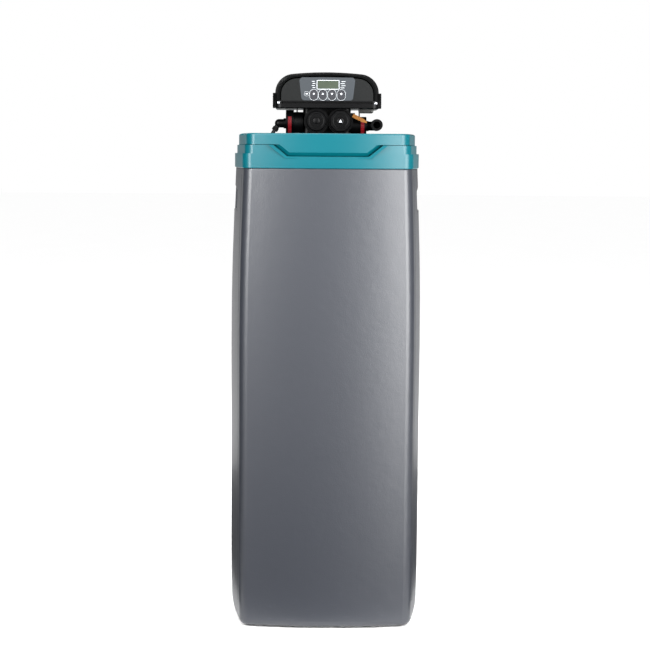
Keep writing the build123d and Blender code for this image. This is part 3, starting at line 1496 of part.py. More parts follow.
os.makedirs("parts", exist_ok=True)
for name, piece in pieces.items():
    piece.part.label = name
    export_step(piece.part, f"parts/{name}.step")
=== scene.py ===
# %% [markdown]
# # A cabinet water softener
# The softener is a tall plastic salt cabinet with a teal lid. A resin tank stands inside it, and the
# valve on the tank's neck carries a black control head. The CAD model gives every part its place and
# size. This lesson dresses it in Blender: first the camera and the light, then the materials, and
# last the small forms that CAD leaves plain, such as threads, grip ribs and printed marks.

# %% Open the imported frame
import json
from math import cos, pi, radians, sin

import bmesh
import bpy
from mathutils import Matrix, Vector


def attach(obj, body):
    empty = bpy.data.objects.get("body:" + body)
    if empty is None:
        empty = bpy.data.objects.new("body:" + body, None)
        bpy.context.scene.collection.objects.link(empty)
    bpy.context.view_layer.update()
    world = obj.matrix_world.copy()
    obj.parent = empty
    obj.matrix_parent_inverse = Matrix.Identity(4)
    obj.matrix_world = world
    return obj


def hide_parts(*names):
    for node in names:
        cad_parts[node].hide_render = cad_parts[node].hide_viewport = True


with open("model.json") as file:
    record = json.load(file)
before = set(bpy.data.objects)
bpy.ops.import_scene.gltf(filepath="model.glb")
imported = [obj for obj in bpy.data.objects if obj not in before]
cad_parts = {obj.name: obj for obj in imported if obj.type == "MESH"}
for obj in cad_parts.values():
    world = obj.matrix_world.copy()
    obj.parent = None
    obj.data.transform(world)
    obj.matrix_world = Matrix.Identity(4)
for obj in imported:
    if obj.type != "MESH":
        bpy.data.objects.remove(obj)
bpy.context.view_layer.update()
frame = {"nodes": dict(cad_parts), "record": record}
scene = bpy.context.scene


def linked(name, data):
    """A new object in the scene that shows some data."""
    made = bpy.data.objects.new(name, data)
    scene.collection.objects.link(made)
    return made


# %% [markdown]
# ## The camera
# The photograph was taken from about three metres with a long lens, a little above the lid, so the
# upright edges hardly lean. A real lens at a real distance gives the same look as the photograph,
# where a close, wide lens would swell the front. The camera stands slightly to the left and is
# tilted down by a few degrees.

# %% Place the camera
photo_pixels = 650
focal_pixels = 1850
sensor_width = 36.0
camera_place = (-0.032, -3.245, 0.790)
look_down = 5.40
camera_roll = -0.4
camera_turn = -0.51

camera_data = bpy.data.cameras.new("photo_camera")
camera_data.sensor_width = sensor_width
camera_data.lens = focal_pixels / photo_pixels * sensor_width
camera = linked("photo_camera", camera_data)
camera.location = camera_place
camera.rotation_euler = (radians(90 - look_down), radians(camera_roll), radians(camera_turn))
scene.camera = camera
print("camera lens", round(camera_data.lens, 1), "mm")

# %% [markdown]
# ## The brine hose
# A thin black hose carries brine from the left elbow through the deck's grommet to the brine well.
# It is a fixed length of something soft, so it is a smooth NURBS curve through the same points as the
# CAD route, given thickness with a round bevel. The order and the end setting come after the points,
# because Blender drops them when the points are added later. The thickness sits in the points' own
# radius, so that the curve's box is as small as the hose.

# %% Lay the brine hose
hose_radius = 0.00325
hose_route = (
    (-0.0890, 0.032, 0.8290),
    (-0.1010, 0.030, 0.8110),
    (-0.1060, 0.024, 0.7860),
    (-0.1060, 0.014, 0.7610),
    (-0.1050, -0.008, 0.7420),
    (-0.1036, -0.030, 0.7350),
    (-0.1020, -0.049, 0.7275),
    (-0.1008, -0.063, 0.7150),
    (-0.1002, -0.071, 0.6985),
    (-0.1000, -0.074, 0.6810),
)

hose_curve = bpy.data.curves.new("brine_hose", "CURVE")
hose_curve.dimensions = "3D"
hose_curve.bevel_depth = 1.0
hose_curve.bevel_resolution = 6
hose_curve.resolution_u = 16
hose_curve.use_fill_caps = True
hose_spline = hose_curve.splines.new("NURBS")
hose_spline.points.add(len(hose_route) - 1)
for control, place in zip(hose_spline.points, hose_route):
    control.co = (*place, 1.0)
    control.radius = hose_radius
hose_spline.order_u = 3
hose_spline.use_endpoint_u = True
brine_hose = linked("brine_hose", hose_curve)
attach(brine_hose, "softener")
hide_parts("brine_tube")
print("brine hose with", len(hose_route), "control points")

# %% [markdown]
# ## Floor and light
# A product shot like this has a white table, a wide soft light on each side and dark cards beyond them. The
# cards matter: a glossy edge mirrors whatever stands beside it, and without them the corners of the cabinet
# would turn as pale as the floor. The cards are hidden from the camera, as they would be in the studio.

# %% Lay the floor and set the room
floor_half = 30.0
floor_drop = 0.0004
room_brightness = 0.30
backdrop_brightness = 1.0


def flat_piece(name, corners):
    """One flat face through its corners, in metres."""
    mesh = bpy.data.meshes.new(name)
    mesh.from_pydata(corners, [], [tuple(range(len(corners)))])
    return linked(name, mesh)


floor = flat_piece("floor", [(-floor_half, -floor_half, -floor_drop), (floor_half, -floor_half, -floor_drop),
                             (floor_half, floor_half, -floor_drop), (-floor_half, floor_half, -floor_drop)])

room = bpy.data.worlds.new("room")
room.use_nodes = True
room_nodes = room.node_tree.nodes
seen = room_nodes.new("ShaderNodeLightPath")
brightness = room_nodes.new("ShaderNodeMapRange")
brightness.inputs["To Min"].default_value = room_brightness
brightness.inputs["To Max"].default_value = backdrop_brightness
room.node_tree.links.new(seen.outputs["Is Camera Ray"], brightness.inputs["Value"])
room.node_tree.links.new(brightness.outputs["Result"], room_nodes["Background"].inputs["Strength"])
room_nodes["Background"].inputs["Color"].default_value = (1.0, 1.0, 1.0, 1.0)
scene.world = room
scene.view_settings.view_transform = "Standard"
print("floor", floor_half * 2, "m wide, room at", room_brightness)

# %% Hang the soft lights
# Name, place, height that it faces, width, height and power in watts.
softboxes = (
    ("right_softbox", (1.20, -1.60, 1.06), 0.95, 1.1, 1.9, 132),
    ("left_strip", (-1.22, -1.52, 1.26), 1.10, 0.34, 1.4, 62),
    ("left_softbox", (-0.85, -1.75, 1.45), 1.05, 0.6, 1.2, 26),
    ("back_softbox", (-0.4, 2.2, 1.9), 0.6, 1.4, 1.2, 20),
)
ceiling_strength = 2.6
ceiling_spread = 30


def soft_light(name, place, aim_height, width, height, power):
    """A rectangular soft light that faces the object at a height."""
    lamp = bpy.data.lights.new(name, "AREA")
    lamp.shape = "RECTANGLE"
    lamp.size = width
    lamp.size_y = height
    lamp.energy = power
    holder = linked(name, lamp)
    holder.location = place
    aim = Vector((0.0, 0.0, aim_height))
    holder.rotation_euler = (aim - Vector(place)).to_track_quat("-Z", "Y").to_euler()
    holder.visible_camera = False
    return holder


def ceiling_light(strength, spread):
    """A very wide light straight overhead, which whitens the table and barely grazes upright walls."""
    lamp = bpy.data.lights.new("ceiling", "SUN")
    lamp.energy = strength
    lamp.angle = radians(spread)
    return linked("ceiling", lamp)


lights = [soft_light(*softbox) for softbox in softboxes]
lights.append(ceiling_light(ceiling_strength, ceiling_spread))
print(len(lights), "lights")

# %% [markdown]
# ## Shader sums
# Materials here are sums of patterns, such as noise times a mask plus a stain. Written node by node
# they are hard to read. A small class that wraps one socket and overloads the signs lets Python write
# the nodes: `1 - mask * noise` adds two Math nodes. Everything that isn't plain arithmetic comes from
# one method, `node`, that takes the node's type, its settings and the values or links of its sockets.

# %% A socket that can stand in a sum


class Reading:
    """One output socket of a node tree."""

    def __init__(self, net, socket):
        self.net = net
        self.socket = socket

    def joined(self, operation, first, second):
        """A Math node on two values or readings."""
        return self.net.node("ShaderNodeMath", {"operation": operation}, {0: first, 1: second})

    def __add__(self, other):
        return self.joined("ADD", self, other)

    def __radd__(self, other):
        return self.joined("ADD", other, self)

    def __sub__(self, other):
        return self.joined("SUBTRACT", self, other)

    def __rsub__(self, other):
        return self.joined("SUBTRACT", other, self)

    def __mul__(self, other):
        return self.joined("MULTIPLY", self, other)

    def __rmul__(self, other):
        return self.joined("MULTIPLY", other, self)


class Net:
    """A node tree, and the one way in which its nodes are made."""

    def __init__(self, tree):
        self.tree = tree

    def node(self, kind, settings=None, values=None, output=0):
        """Add a node, set it up, fill or link its sockets and hand back one of its outputs."""
        made = self.tree.nodes.new(kind)
        for setting, choice in (settings or {}).items():
            setattr(made, setting, choice)
        for name, value in (values or {}).items():
            if isinstance(value, Reading):
                self.tree.links.new(value.socket, made.inputs[name])
            else:
                made.inputs[name].default_value = value
        return Reading(self, made.outputs[output]) if made.outputs else None


print("shader sums ready")

# %% [markdown]
# ## The common plastic
# Most of the softener is moulded plastic. Real mouldings are never one flat colour: the tone drifts
# slowly across a panel, the surface has a fine grain from the mould, and handling leaves it a touch
# shinier in places. One finish with a few numbers covers them all, so the parts look like one
# family. The patterns read Object coordinates, which stay put on a part when it moves.

# %% A finish and its patterns


def shade(red, green, blue):
    """A colour in screen values, 0 to 255, as the linear numbers that a shader takes."""
    return tuple((value / 255) ** 2.2 for value in (red, green, blue)) + (1.0,)


def scaled(colour, factor):
    """A colour made darker or lighter."""
    return tuple(channel * factor for channel in colour[:3]) + (1.0,)


class Finish(Net):
    """A procedural material under construction."""

    def __init__(self, name):
        self.material = bpy.data.materials.new(name)
        self.material.use_nodes = True
        super().__init__(self.material.node_tree)
        self.tree.nodes.clear()
        self.place = self.node("ShaderNodeTexCoord", output="Object")

    def stretched(self, stretch, turn=(0.0, 0.0, 0.0)):
        """Object coordinates scaled along each axis, to draw a pattern out."""
        return self.node("ShaderNodeMapping", None,
                         {"Vector": self.place, "Scale": stretch, "Rotation": turn})

    def noise(self, scale, detail=2.0, place=None):
        """Cloudy noise from 0 to 1. The scale is in features a metre."""
        return self.node("ShaderNodeTexNoise", None,
                         {"Vector": place or self.place, "Scale": scale, "Detail": detail})

    def span(self, reading, low, high):
        """A reading stretched so that low becomes 0 and high becomes 1, held between them."""
        return self.node("ShaderNodeMapRange", {"clamp": True},
                         {"Value": reading, "From Min": low, "From Max": high})

    def tint(self, mask, first, second):
        """Two colours mixed by a mask."""
        return self.node("ShaderNodeMix", {"data_type": "RGBA"}, {0: mask, 6: first, 7: second}, output=2)

    def axis(self, name, place=None):
        """One axis of the coordinates, X, Y or Z."""
        return self.node("ShaderNodeSeparateXYZ", None, {0: place or self.place}, output=name)

    def relief(self, height, depth, under=None):
        """A bump normal from a height, over another normal if there is one."""
        values = {"Height": height, "Distance": depth}
        if under:
            values["Normal"] = under
        return self.node("ShaderNodeBump", None, values)

    def close(self, **sockets):
        """Finish with a Principled shader and return the material."""
        named = {name.replace("_", " "): value for name, value in sockets.items()}
        surface = self.node("ShaderNodeBsdfPrincipled", None, named)
        self.node("ShaderNodeOutputMaterial", None, {"Surface": surface})
        return self.material


def moulded(name, colour, gloss, grain, depth, drift=0.12, coat=0.0, specular=0.5):
    """Moulded plastic: tone that drifts, a fine grain, and a gloss that varies with both."""
    finish = Finish(name)
    cloud = finish.noise(9, 3)
    speck = finish.noise(grain, 2)
    base = finish.tint(cloud * 0.7 + speck * 0.3, scaled(colour, 1 - drift), scaled(colour, 1 + drift))
    rough = cloud * 0.10 + speck * 0.06 + (gloss - 0.08)
    return finish.close(Base_Color=base, Roughness=rough, Normal=finish.relief(speck, depth),
                        Coat_Weight=coat, Specular_IOR_Level=specular)


print("finish maker ready")

# %% [markdown]
# ## The cabinet's own plastic
# The cabinet is blow-moulded polyethylene in a blue-grey. Up close it has an orange-peel skin of
# about a millimetre, and the tone is cloudy from top to bottom, drawn out along the height. Near the
# floor it carries pale scuffs from mops and shoes. The peel is bump, the scuffs change the colour and
# the roughness together, and both fade out by height.

# %% Mix the cabinet's finish


def cabinet_finish():
    """Blue-grey blow-moulded plastic with orange peel and scuffs near the floor."""
    finish = Finish("cabinet_plastic")
    colour = shade(41, 43, 48)
    peel = finish.noise(620, 2)
    ripple = finish.noise(70, 3)
    cloud = finish.noise(3.5, 4, finish.stretched((1.0, 1.0, 0.35)))
    base = finish.tint(cloud * 0.75 + ripple * 0.25, scaled(colour, 0.9), scaled(colour, 1.12))
    height = finish.axis("Z")
    low = 1 - finish.span(height, 0.01, 0.10)
    rub = finish.span(finish.noise(240, 4, finish.stretched((0.25, 0.25, 1.0))), 0.62, 0.72)
    scuff = low * rub
    base = finish.tint(scuff * 0.35, base, scaled(colour, 1.9))
    rough = cloud * 0.06 + peel * 0.05 + scuff * 0.12 + 0.33
    normal = finish.relief(ripple, 0.00018, finish.relief(peel, 0.00012))
    return finish.close(Base_Color=base, Roughness=rough, Normal=normal)


def teal_finish():
    """Glossier teal plastic of the deck and the lid, with a tone and a gloss that drift slowly."""
    finish = Finish("teal_plastic")
    colour = shade(4, 72, 80)
    cloud = finish.noise(7, 3)
    peel = finish.noise(480, 2)
    base = finish.tint(cloud * 0.7 + peel * 0.3, scaled(colour, 0.90), scaled(colour, 1.08))
    rough = cloud * 0.04 + peel * 0.03 + 0.27
    return finish.close(Base_Color=base, Roughness=rough, Normal=finish.relief(peel, 0.00006),
                        Specular_IOR_Level=0.24)


def smoked_finish():
    """Glossy smoke-black plastic of the head's cover, with dust and hairline scratches."""
    finish = Finish("smoked_plastic")
    cloud = finish.noise(12, 3)
    dust = finish.span(finish.noise(1500, 2), 0.66, 0.76)
    hair = finish.span(finish.noise(700, 2, finish.stretched((1.0, 1.0, 0.03))), 0.62, 0.70)
    base = finish.tint(dust * 0.2, shade(11, 12, 12), shade(60, 62, 64))
    rough = cloud * 0.06 + dust * 0.25 + hair * 0.12 + 0.31
    return finish.close(Base_Color=base, Roughness=rough, Normal=finish.relief(cloud, 0.0002),
                        Specular_IOR_Level=0.04)


finishes = {
    "cabinet_grey": cabinet_finish(),
    "teal": teal_finish(),
    "smoke_black": smoked_finish(),
    "black_plastic": moulded("glass_filled_black", shade(9, 9, 10), 0.38, 900, 0.00006, specular=0.1),
    "panel_dark": moulded("panel_plastic", shade(22, 23, 23), 0.42, 1200, 0.00003, specular=0.12),
    "overlay_grey": moulded("overlay_film", shade(51, 54, 57), 0.42, 1600, 0.00002, specular=0.15),
    "key_grey": moulded("key_rubber", shade(44, 45, 48), 0.50, 1400, 0.00003, specular=0.15),
    "red_plastic": moulded("red_nylon", shade(84, 13, 19), 0.26, 800, 0.00005, 0.15, 0.5),
    "amber_plastic": moulded("amber_nylon", shade(109, 69, 17), 0.38, 700, 0.00005, 0.15, specular=0.35),
    "clear_grey": moulded("cloudy_grey", shade(62, 62, 60), 0.34, 500, 0.00003, 0.10, 0.1, 0.35),
    "white_plastic": moulded("natural_plastic", shade(226, 226, 220), 0.42, 700, 0.00004, 0.05),
    "tube_black": moulded("hose_plastic", shade(14, 14, 15), 0.42, 900, 0.00003, specular=0.15),
    "rubber": moulded("dull_rubber", shade(30, 30, 30), 0.72, 1100, 0.00006),
    "nylon": moulded("cream_nylon", shade(214, 206, 184), 0.38, 600, 0.00004, 0.06),
    "lead_grey": moulded("lead_sheath", shade(40, 40, 42), 0.5, 900, 0.00002),
    "white_ink": moulded("white_ink", shade(178, 181, 184), 0.55, 1500, 0.00001, 0.04, specular=0.2),
}
print(len(finishes), "finishes so far")

# %% [markdown]
# ## Metals, the wound tank and the small specials
# The other surfaces each have a rule of their own. Steel is brushed, so its noise is drawn out along
# one axis. The resin tank is wound with glass fibre, which leaves crossing bands, made from two waves
# turned against each other. Resin beads are a cell pattern, the circuit board has a maze of tracks,
# and the display is a grey-green glass over a faint dot grid.

# %% Mix the special finishes


def brushed(name, colour, gloss):
    """Metal with fine lines drawn out along one axis."""
    finish = Finish(name)
    lines = finish.noise(1400, 3, finish.stretched((0.03, 1.0, 1.0)))
    cloud = finish.noise(40, 2)
    base = finish.tint(lines * 0.6 + cloud * 0.4, scaled(colour, 0.8), scaled(colour, 1.1))
    return finish.close(Base_Color=base, Roughness=lines * 0.18 + gloss, Metallic=1.0,
                        Normal=finish.relief(lines, 0.00002))


def wound_finish():
    """Pale wound glass fibre: two sets of bands that cross, under a thin resin coat."""
    finish = Finish("wound_tank")
    angle = 0.62
    sets = []
    for side in (-1, 1):
        turned_place = finish.stretched((1.0, 1.0, 1.0), (0.0, side * angle, 0.0))
        sets.append(finish.node("ShaderNodeTexWave", {"bands_direction": "Z"},
                                {"Vector": turned_place, "Scale": 34.0, "Distortion": 1.2}, output="Fac"))
    weave = sets[0] * 0.5 + sets[1] * 0.5
    base = finish.tint(weave, shade(96, 100, 108), shade(150, 154, 160))
    return finish.close(Base_Color=base, Roughness=weave * 0.15 + 0.35, Normal=finish.relief(weave, 0.0005),
                        Coat_Weight=0.2)


def bead_finish():
    """Amber resin beads packed together, with painted shade that darkens each bead towards its rim and
    between the beads.
    """
    finish = Finish("resin_beads")
    cells = finish.node("ShaderNodeTexVoronoi", None, {"Vector": finish.place, "Scale": 900.0},
                        output="Distance")
    # Painted shade: the colour runs from light at each bead's middle to dark at its rim, where the beads
    # meet.
    base = finish.tint(cells, shade(214, 150, 60), shade(120, 66, 18))
    return finish.close(Base_Color=base, Roughness=cells * 0.2 + 0.3, Normal=finish.relief(1 - cells, 0.0006))


def board_finish():
    """Green circuit board with pale tracks."""
    finish = Finish("circuit_board")
    upright = finish.stretched((1.0, 1.0, 1.0), (radians(90), 0.0, 0.0))
    tracks = finish.node("ShaderNodeTexBrick", None,
                         {"Vector": upright, "Scale": 260.0, "Mortar Size": 0.08,
                          "Color1": (0.0, 0.0, 0.0, 1.0), "Color2": (0.25, 0.25, 0.25, 1.0),
                          "Mortar": (1.0, 1.0, 1.0, 1.0)}, output="Color")
    base = finish.tint(tracks, shade(20, 74, 42), shade(58, 120, 74))
    cloud = finish.noise(300, 2)
    return finish.close(Base_Color=base, Roughness=cloud * 0.1 + 0.3, Normal=finish.relief(tracks, 0.00005))


def display_finish():
    """Grey-green display behind a clear window: faint rows of dots under a smooth coat."""
    finish = Finish("display_window")
    columns = finish.node("ShaderNodeTexWave", {"bands_direction": "X"},
                          {"Vector": finish.place, "Scale": 420.0}, output="Fac")
    rows = finish.node("ShaderNodeTexWave", {"bands_direction": "Z"},
                       {"Vector": finish.place, "Scale": 420.0}, output="Fac")
    cloud = finish.noise(60, 2)
    base = finish.tint(columns * rows * 0.35 + cloud * 0.4, shade(49, 55, 47), shade(66, 73, 62))
    return finish.close(Base_Color=base, Roughness=cloud * 0.06 + 0.22, Normal=finish.relief(cloud, 0.00002),
                        Specular_IOR_Level=0.3)


finishes["steel"] = brushed("brushed_steel", shade(196, 198, 202), 0.26)
finishes["motor_metal"] = brushed("motor_can", shade(176, 178, 182), 0.34)
finishes["tank_wrap"] = wound_finish()
finishes["resin_beads"] = bead_finish()
finishes["board_green"] = board_finish()
finishes["display_glass"] = display_finish()
print(len(finishes), "finishes in all")

# %% [markdown]
# ## Dressing the CAD parts
# The record names a material slot for every CAD part, and the finishes carry the same names, so one
# loop dresses them all. The hose's curve takes its finish in the same way.

# %% Dress every CAD node in the finish of its slot
for part in frame["record"]["subparts"]:
    mesh = frame["nodes"][part["node"]].data
    mesh.materials.clear()
    mesh.materials.append(finishes[part["material_slot"]])
hose_curve.materials.append(finishes["tube_black"])
print(len(frame["nodes"]), "nodes dressed")

# %% [markdown]
# ## The table's paper and the cards
# The floor is matt white paper. Two cards stand beside the object, three lie on the table and take the
# table's glow out of the lower walls, and one hangs behind the head. The right card is grey, because
# the right wall of the cabinet is paler in the photograph than the left one.

# %% Paint the floor and set the cards
card_length = 1.9
card_height = 2.0
card_lift = 0.001
black_shade = (0.02, 0.02, 0.02, 1.0)
grey_shade = (0.16, 0.16, 0.16, 1.0)
white_shade = (0.93, 0.93, 0.93, 1.0)


def paper_finish(name, colour):
    """Matt paper with a faint mottle."""
    finish = Finish(name)
    cloud = finish.noise(3, 3)
    base = finish.tint(cloud, scaled(colour, 0.985), colour)
    return finish.close(Base_Color=base, Roughness=cloud * 0.1 + 0.7)


def hidden_card(corners, paper=None):
    """A card that only the object's own surfaces see, black unless another paper is given."""
    card = flat_piece("card", corners)
    card.data.materials.append(paper or card_paper)
    card.visible_camera = False
    card.visible_shadow = False
    return card


def standing_card(card_x, card_y, paper=None):
    """A card that stands beside the object, along the depth."""
    front = card_y - card_length / 2
    rear = card_y + card_length / 2
    return hidden_card([(card_x, front, 0.0), (card_x, rear, 0.0),
                        (card_x, rear, card_height), (card_x, front, card_height)], paper)


def lying_card(left, front, right, rear):
    """A card that lies on the table and takes its glow out of the cabinet's lower half."""
    return hidden_card([(left, front, card_lift), (right, front, card_lift),
                        (right, rear, card_lift), (left, rear, card_lift)])


def rear_card(half, rear, low, high):
    """A card behind the head, so that the glossy cover's crown doesn't mirror the bright room."""
    return hidden_card([(-half, rear, low), (half, rear, low), (half, rear, high), (-half, rear, high)])


floor.data.materials.append(paper_finish("white_table", white_shade))
card_paper = paper_finish("dark_card", black_shade)
grey_paper = paper_finish("grey_card", grey_shade)
cards = [
    standing_card(card_x=-1.25, card_y=0.35),
    standing_card(card_x=1.45, card_y=0.45, paper=grey_paper),
    lying_card(left=-1.0, front=-1.8, right=1.0, rear=-0.29),
    lying_card(left=-1.25, front=-0.2, right=-0.22, rear=1.3),
    lying_card(left=0.22, front=-0.2, right=1.1, rear=1.3),
    rear_card(half=0.35, rear=0.6, low=0.94, high=1.6),
]
print(len(cards), "cards")

# %% [markdown]
# ## Small forms that grow from numbers
# The small forms of the softener repeat: ribs round a knob, turns of a thread, rings on a spigot,
# rows of pins. Geometry Nodes suit them, because one tree makes them all from a count and a few
# sizes. Each tree here is built in the script and has named inputs. Its result is turned into a plain
# mesh at once, because an export drops modifiers and instances.

# %% A tree that grows, and its plain result
weld_distance = 0.0000001
crease_angle = radians(35)
bar_corners = 8
socket_kinds = {int: "NodeSocketInt", float: "NodeSocketFloat"}
shared_inputs = (("Template", "NodeSocketObject"), ("Place", "NodeSocketVector"),
                 ("Turn", "NodeSocketRotation"), ("Finish", "NodeSocketMaterial"))


class Growth(Net):
    """A Geometry Nodes tree with a named input for each of its sizes."""

    def __init__(self, name, **sizes):
        super().__init__(bpy.data.node_groups.new(name, "GeometryNodeTree"))
        sockets = self.tree.interface
        sockets.new_socket("Geometry", in_out="OUTPUT", socket_type="NodeSocketGeometry")
        sockets.new_socket("Geometry", in_out="INPUT", socket_type="NodeSocketGeometry")
        for label, value in sizes.items():
            made = sockets.new_socket(label, in_out="INPUT", socket_type=socket_kinds[type(value)])
            made.default_value = value
        for label, kind in shared_inputs:
            sockets.new_socket(label, in_out="INPUT", socket_type=kind)
        self.entry = self.tree.nodes.new("NodeGroupInput")

    def size(self, label):
        """One of the tree's inputs."""
        return Reading(self, self.entry.outputs[label])

    def vector(self, across, along, up):
        """Three numbers as one vector."""
        return self.node("ShaderNodeCombineXYZ", None, {"X": across, "Y": along, "Z": up})

    def copies(self, points, shape, turn=(0.0, 0.0, 0.0)):
        """The shape at every point."""
        return self.node("GeometryNodeInstanceOnPoints", None,
                         {"Points": points, "Instance": shape, "Rotation": turn})

    def line(self, across=0.0, along=0.0, up=0.0):
        """As many points as the tree counts, one step apart."""
        return self.node("GeometryNodeMeshLine", None,
                         {"Count": self.size("Count"), "Offset": self.vector(across, along, up)})

    def bar(self, label):
        """A round bar along the local Z axis, its radius one of the tree's inputs."""
        return self.node("GeometryNodeMeshCylinder", None,
                         {"Vertices": bar_corners, "Radius": self.size(label), "Depth": self.size("Length")})

    def circle(self, corners, label):
        """A circle, its radius one of the tree's inputs."""
        return self.node("GeometryNodeCurvePrimitiveCircle", None,
                         {"Resolution": corners, "Radius": self.size(label)})

    def swept(self, path, corners, label):
        """A round section carried along a path and closed at open ends."""
        return self.node("GeometryNodeCurveToMesh", None,
                         {"Curve": path, "Profile Curve": self.circle(corners, label), "Fill Caps": True})

    def template(self):
        """The shape of the object that the tree is given."""
        return self.node("GeometryNodeObjectInfo", None, {"Object": self.size("Template")},
                         output="Geometry")

    def end(self, shape):
        """Turn the shape, put it in its place, make its copies real and give it its finish."""
        placed = self.node("GeometryNodeTransform", None,
                           {"Geometry": shape, "Translation": self.size("Place"),
                            "Rotation": self.size("Turn")})
        return self.end_in_place(placed)

    def end_in_place(self, shape):
        """Make the shape's copies real, give it its finish and hand it out where it is."""
        real = self.node("GeometryNodeRealizeInstances", None, {"Geometry": shape})
        dressed = self.node("GeometryNodeSetMaterial", None,
                            {"Geometry": real, "Material": self.size("Finish")})
        self.node("NodeGroupOutput", None, {"Geometry": dressed})
        return self


def grown(growth, slot_name, points=(), **sizes):
    """Run a tree once, on a few points if it takes any, and return the result as a plain mesh."""
    start = bpy.data.meshes.new("start")
    start.from_pydata(points, [], [])
    holder = linked("start", start)
    modifier = holder.modifiers.new("growth", "NODES")
    modifier.node_group = growth.tree
    sizes["Finish"] = finishes[slot_name]
    for item in growth.tree.interface.items_tree:
        if item.in_out == "INPUT" and item.name in sizes:
            modifier[item.identifier] = sizes[item.name]
    seen = holder.evaluated_get(bpy.context.evaluated_depsgraph_get())
    plain = bpy.data.meshes.new_from_object(seen)
    holder.modifiers.remove(modifier)
    bpy.data.objects.remove(holder)
    return plain


def keep(name, meshes, body, slot_name, *nodes):
    """Join meshes into one piece that rides on a body, and may stand for CAD nodes."""
    joined = bmesh.new()
    for mesh in meshes:
        joined.from_mesh(mesh)
    bmesh.ops.remove_doubles(joined, verts=joined.verts, dist=weld_distance)
    bmesh.ops.recalc_face_normals(joined, faces=joined.faces)
    plain = bpy.data.meshes.new(name)
    joined.to_mesh(plain)
    joined.free()
    plain.materials.clear()
    plain.materials.append(finishes[slot_name])
    plain.shade_smooth()
    plain.set_sharp_from_angle(angle=crease_angle)
    piece = linked(name, plain)
    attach(piece, body)
    if nodes:
        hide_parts(*nodes)
    print(name, len(plain.polygons), "faces")
    return piece


# %% Ribs round an axis, rings along one, and a thread


def ribs_tree():
    """Half-sunk round ribs on an arc or a full circle, each along the local Z axis."""
    growth = Growth("ribs_round_axis", Count=24, Radius=0.01, Rib=0.0005, Length=0.01,
                    First=0.0, Step=0.2618)
    index = growth.node("GeometryNodeInputIndex")
    angle = growth.size("First") + growth.size("Step") * index
    across, along = (growth.size("Radius") * growth.node("ShaderNodeMath", {"operation": wave}, {0: angle})
                     for wave in ("COSINE", "SINE"))
    arc = growth.node("GeometryNodeSetPosition", None,
                      {"Geometry": growth.line(), "Position": growth.vector(across, along, 0.0)})
    return growth.end(growth.copies(arc, growth.bar("Rib")))


def rings_tree():
    """Round rings along the local Z axis, at an even pitch."""
    growth = Growth("rings_along_axis", Count=4, Pitch=0.003, Radius=0.009, Ring=0.0005)
    ring = growth.swept(growth.circle(48, "Radius"), 8, "Ring")
    return growth.end(growth.copies(growth.line(up=growth.size("Pitch")), ring))


def thread_tree():
    """One screw thread that winds up the local Z axis."""
    growth = Growth("screw_thread", Turns=8.0, Radius=0.0125, Crest=0.0007, Length=0.018)
    spiral = growth.node("GeometryNodeCurveSpiral", None,
                         {"Resolution": 36, "Rotations": growth.size("Turns"),
                          "Height": growth.size("Length"), "Start Radius": growth.size("Radius"),
                          "End Radius": growth.size("Radius")})
    return growth.end(growth.swept(spiral, 6, "Crest"))


ribs, rings, thread = ribs_tree(), rings_tree(), thread_tree()
print("trees for ribs, rings and threads")

# %% [markdown]
# ## Turned parts
# A pipe tail, a screw and a capacitor are turned forms, so a profile swept round an axis gives them
# with clean rings of faces. CAD left the tails' threads plain, because a modelled thread makes the
# solid heavy, so here each tail is turned again, a little under the thread's crest, and the thread is
# wound round it.

# %% Turn a profile round an axis
socket_radius = 0.0016
lobe_share = 0.12
axis_frames = {
    "X": (Vector((1, 0, 0)), Vector((0, 1, 0)), Vector((0, 0, 1))),
    "Y": (Vector((0, 1, 0)), Vector((0, 0, 1)), Vector((1, 0, 0))),
    "Z": (Vector((0, 0, 1)), Vector((1, 0, 0)), Vector((0, 1, 0))),
}


def lathed(profile, centre, axis, steps=40, lobes=0):
    """Closed mesh turned from a ring of (place along the axis, radius) pairs. Lobes shape a socket."""
    along, side, up = axis_frames[axis]
    shape = bmesh.new()
    hoops = []
    for place, radius in profile:
        hoop = []
        for step in range(steps):
            angle = 2 * pi * step / steps
            lobed = lobes and place > 0 and radius < socket_radius
            reach = radius * (1 + lobe_share * cos(lobes * angle)) if lobed else radius
            around = side * reach * cos(angle) + up * reach * sin(angle)
            hoop.append(shape.verts.new(Vector(centre) + along * place + around))
        hoops.append(hoop)
    for first, second in zip(hoops, hoops[1:] + hoops[:1]):
        for step in range(steps):
            after = (step + 1) % steps
            shape.faces.new((first[step], first[after], second[after], second[step]))
    bmesh.ops.remove_doubles(shape, verts=shape.verts, dist=weld_distance)
    bmesh.ops.dissolve_degenerate(shape, edges=shape.edges, dist=weld_distance)
    plain = bpy.data.meshes.new("turned")
    shape.to_mesh(plain)
    shape.free()
    return plain


tail_x = 0.021
port_z = 0.838
quarter = radians(90)
facing_rear = (-quarter, 0.0, 0.0)
tail_profile = ((0.158, 0.0148), (0.162, 0.0148), (0.1622, 0.0125), (0.194, 0.0125), (0.1945, 0.0123),
                (0.2130, 0.0123), (0.2140, 0.0116), (0.2140, 0.0095), (0.158, 0.0095))
tail_steps = 48
thread_start_y = 0.1953
thread_sizes = {"Turns": 9.8, "Radius": 0.01245, "Crest": 0.00072, "Length": 0.0178}
tail_meshes = []
for side in (-1, 1):
    tail_meshes.append(lathed(tail_profile, (side * tail_x, 0.0, port_z), "Y", tail_steps))
    tail_meshes.append(grown(thread, "black_plastic", Place=(side * tail_x, thread_start_y, port_z),
                             Turn=facing_rear, **thread_sizes))
keep("threaded_tails", tail_meshes, "softener", "black_plastic", "pipe_tails")

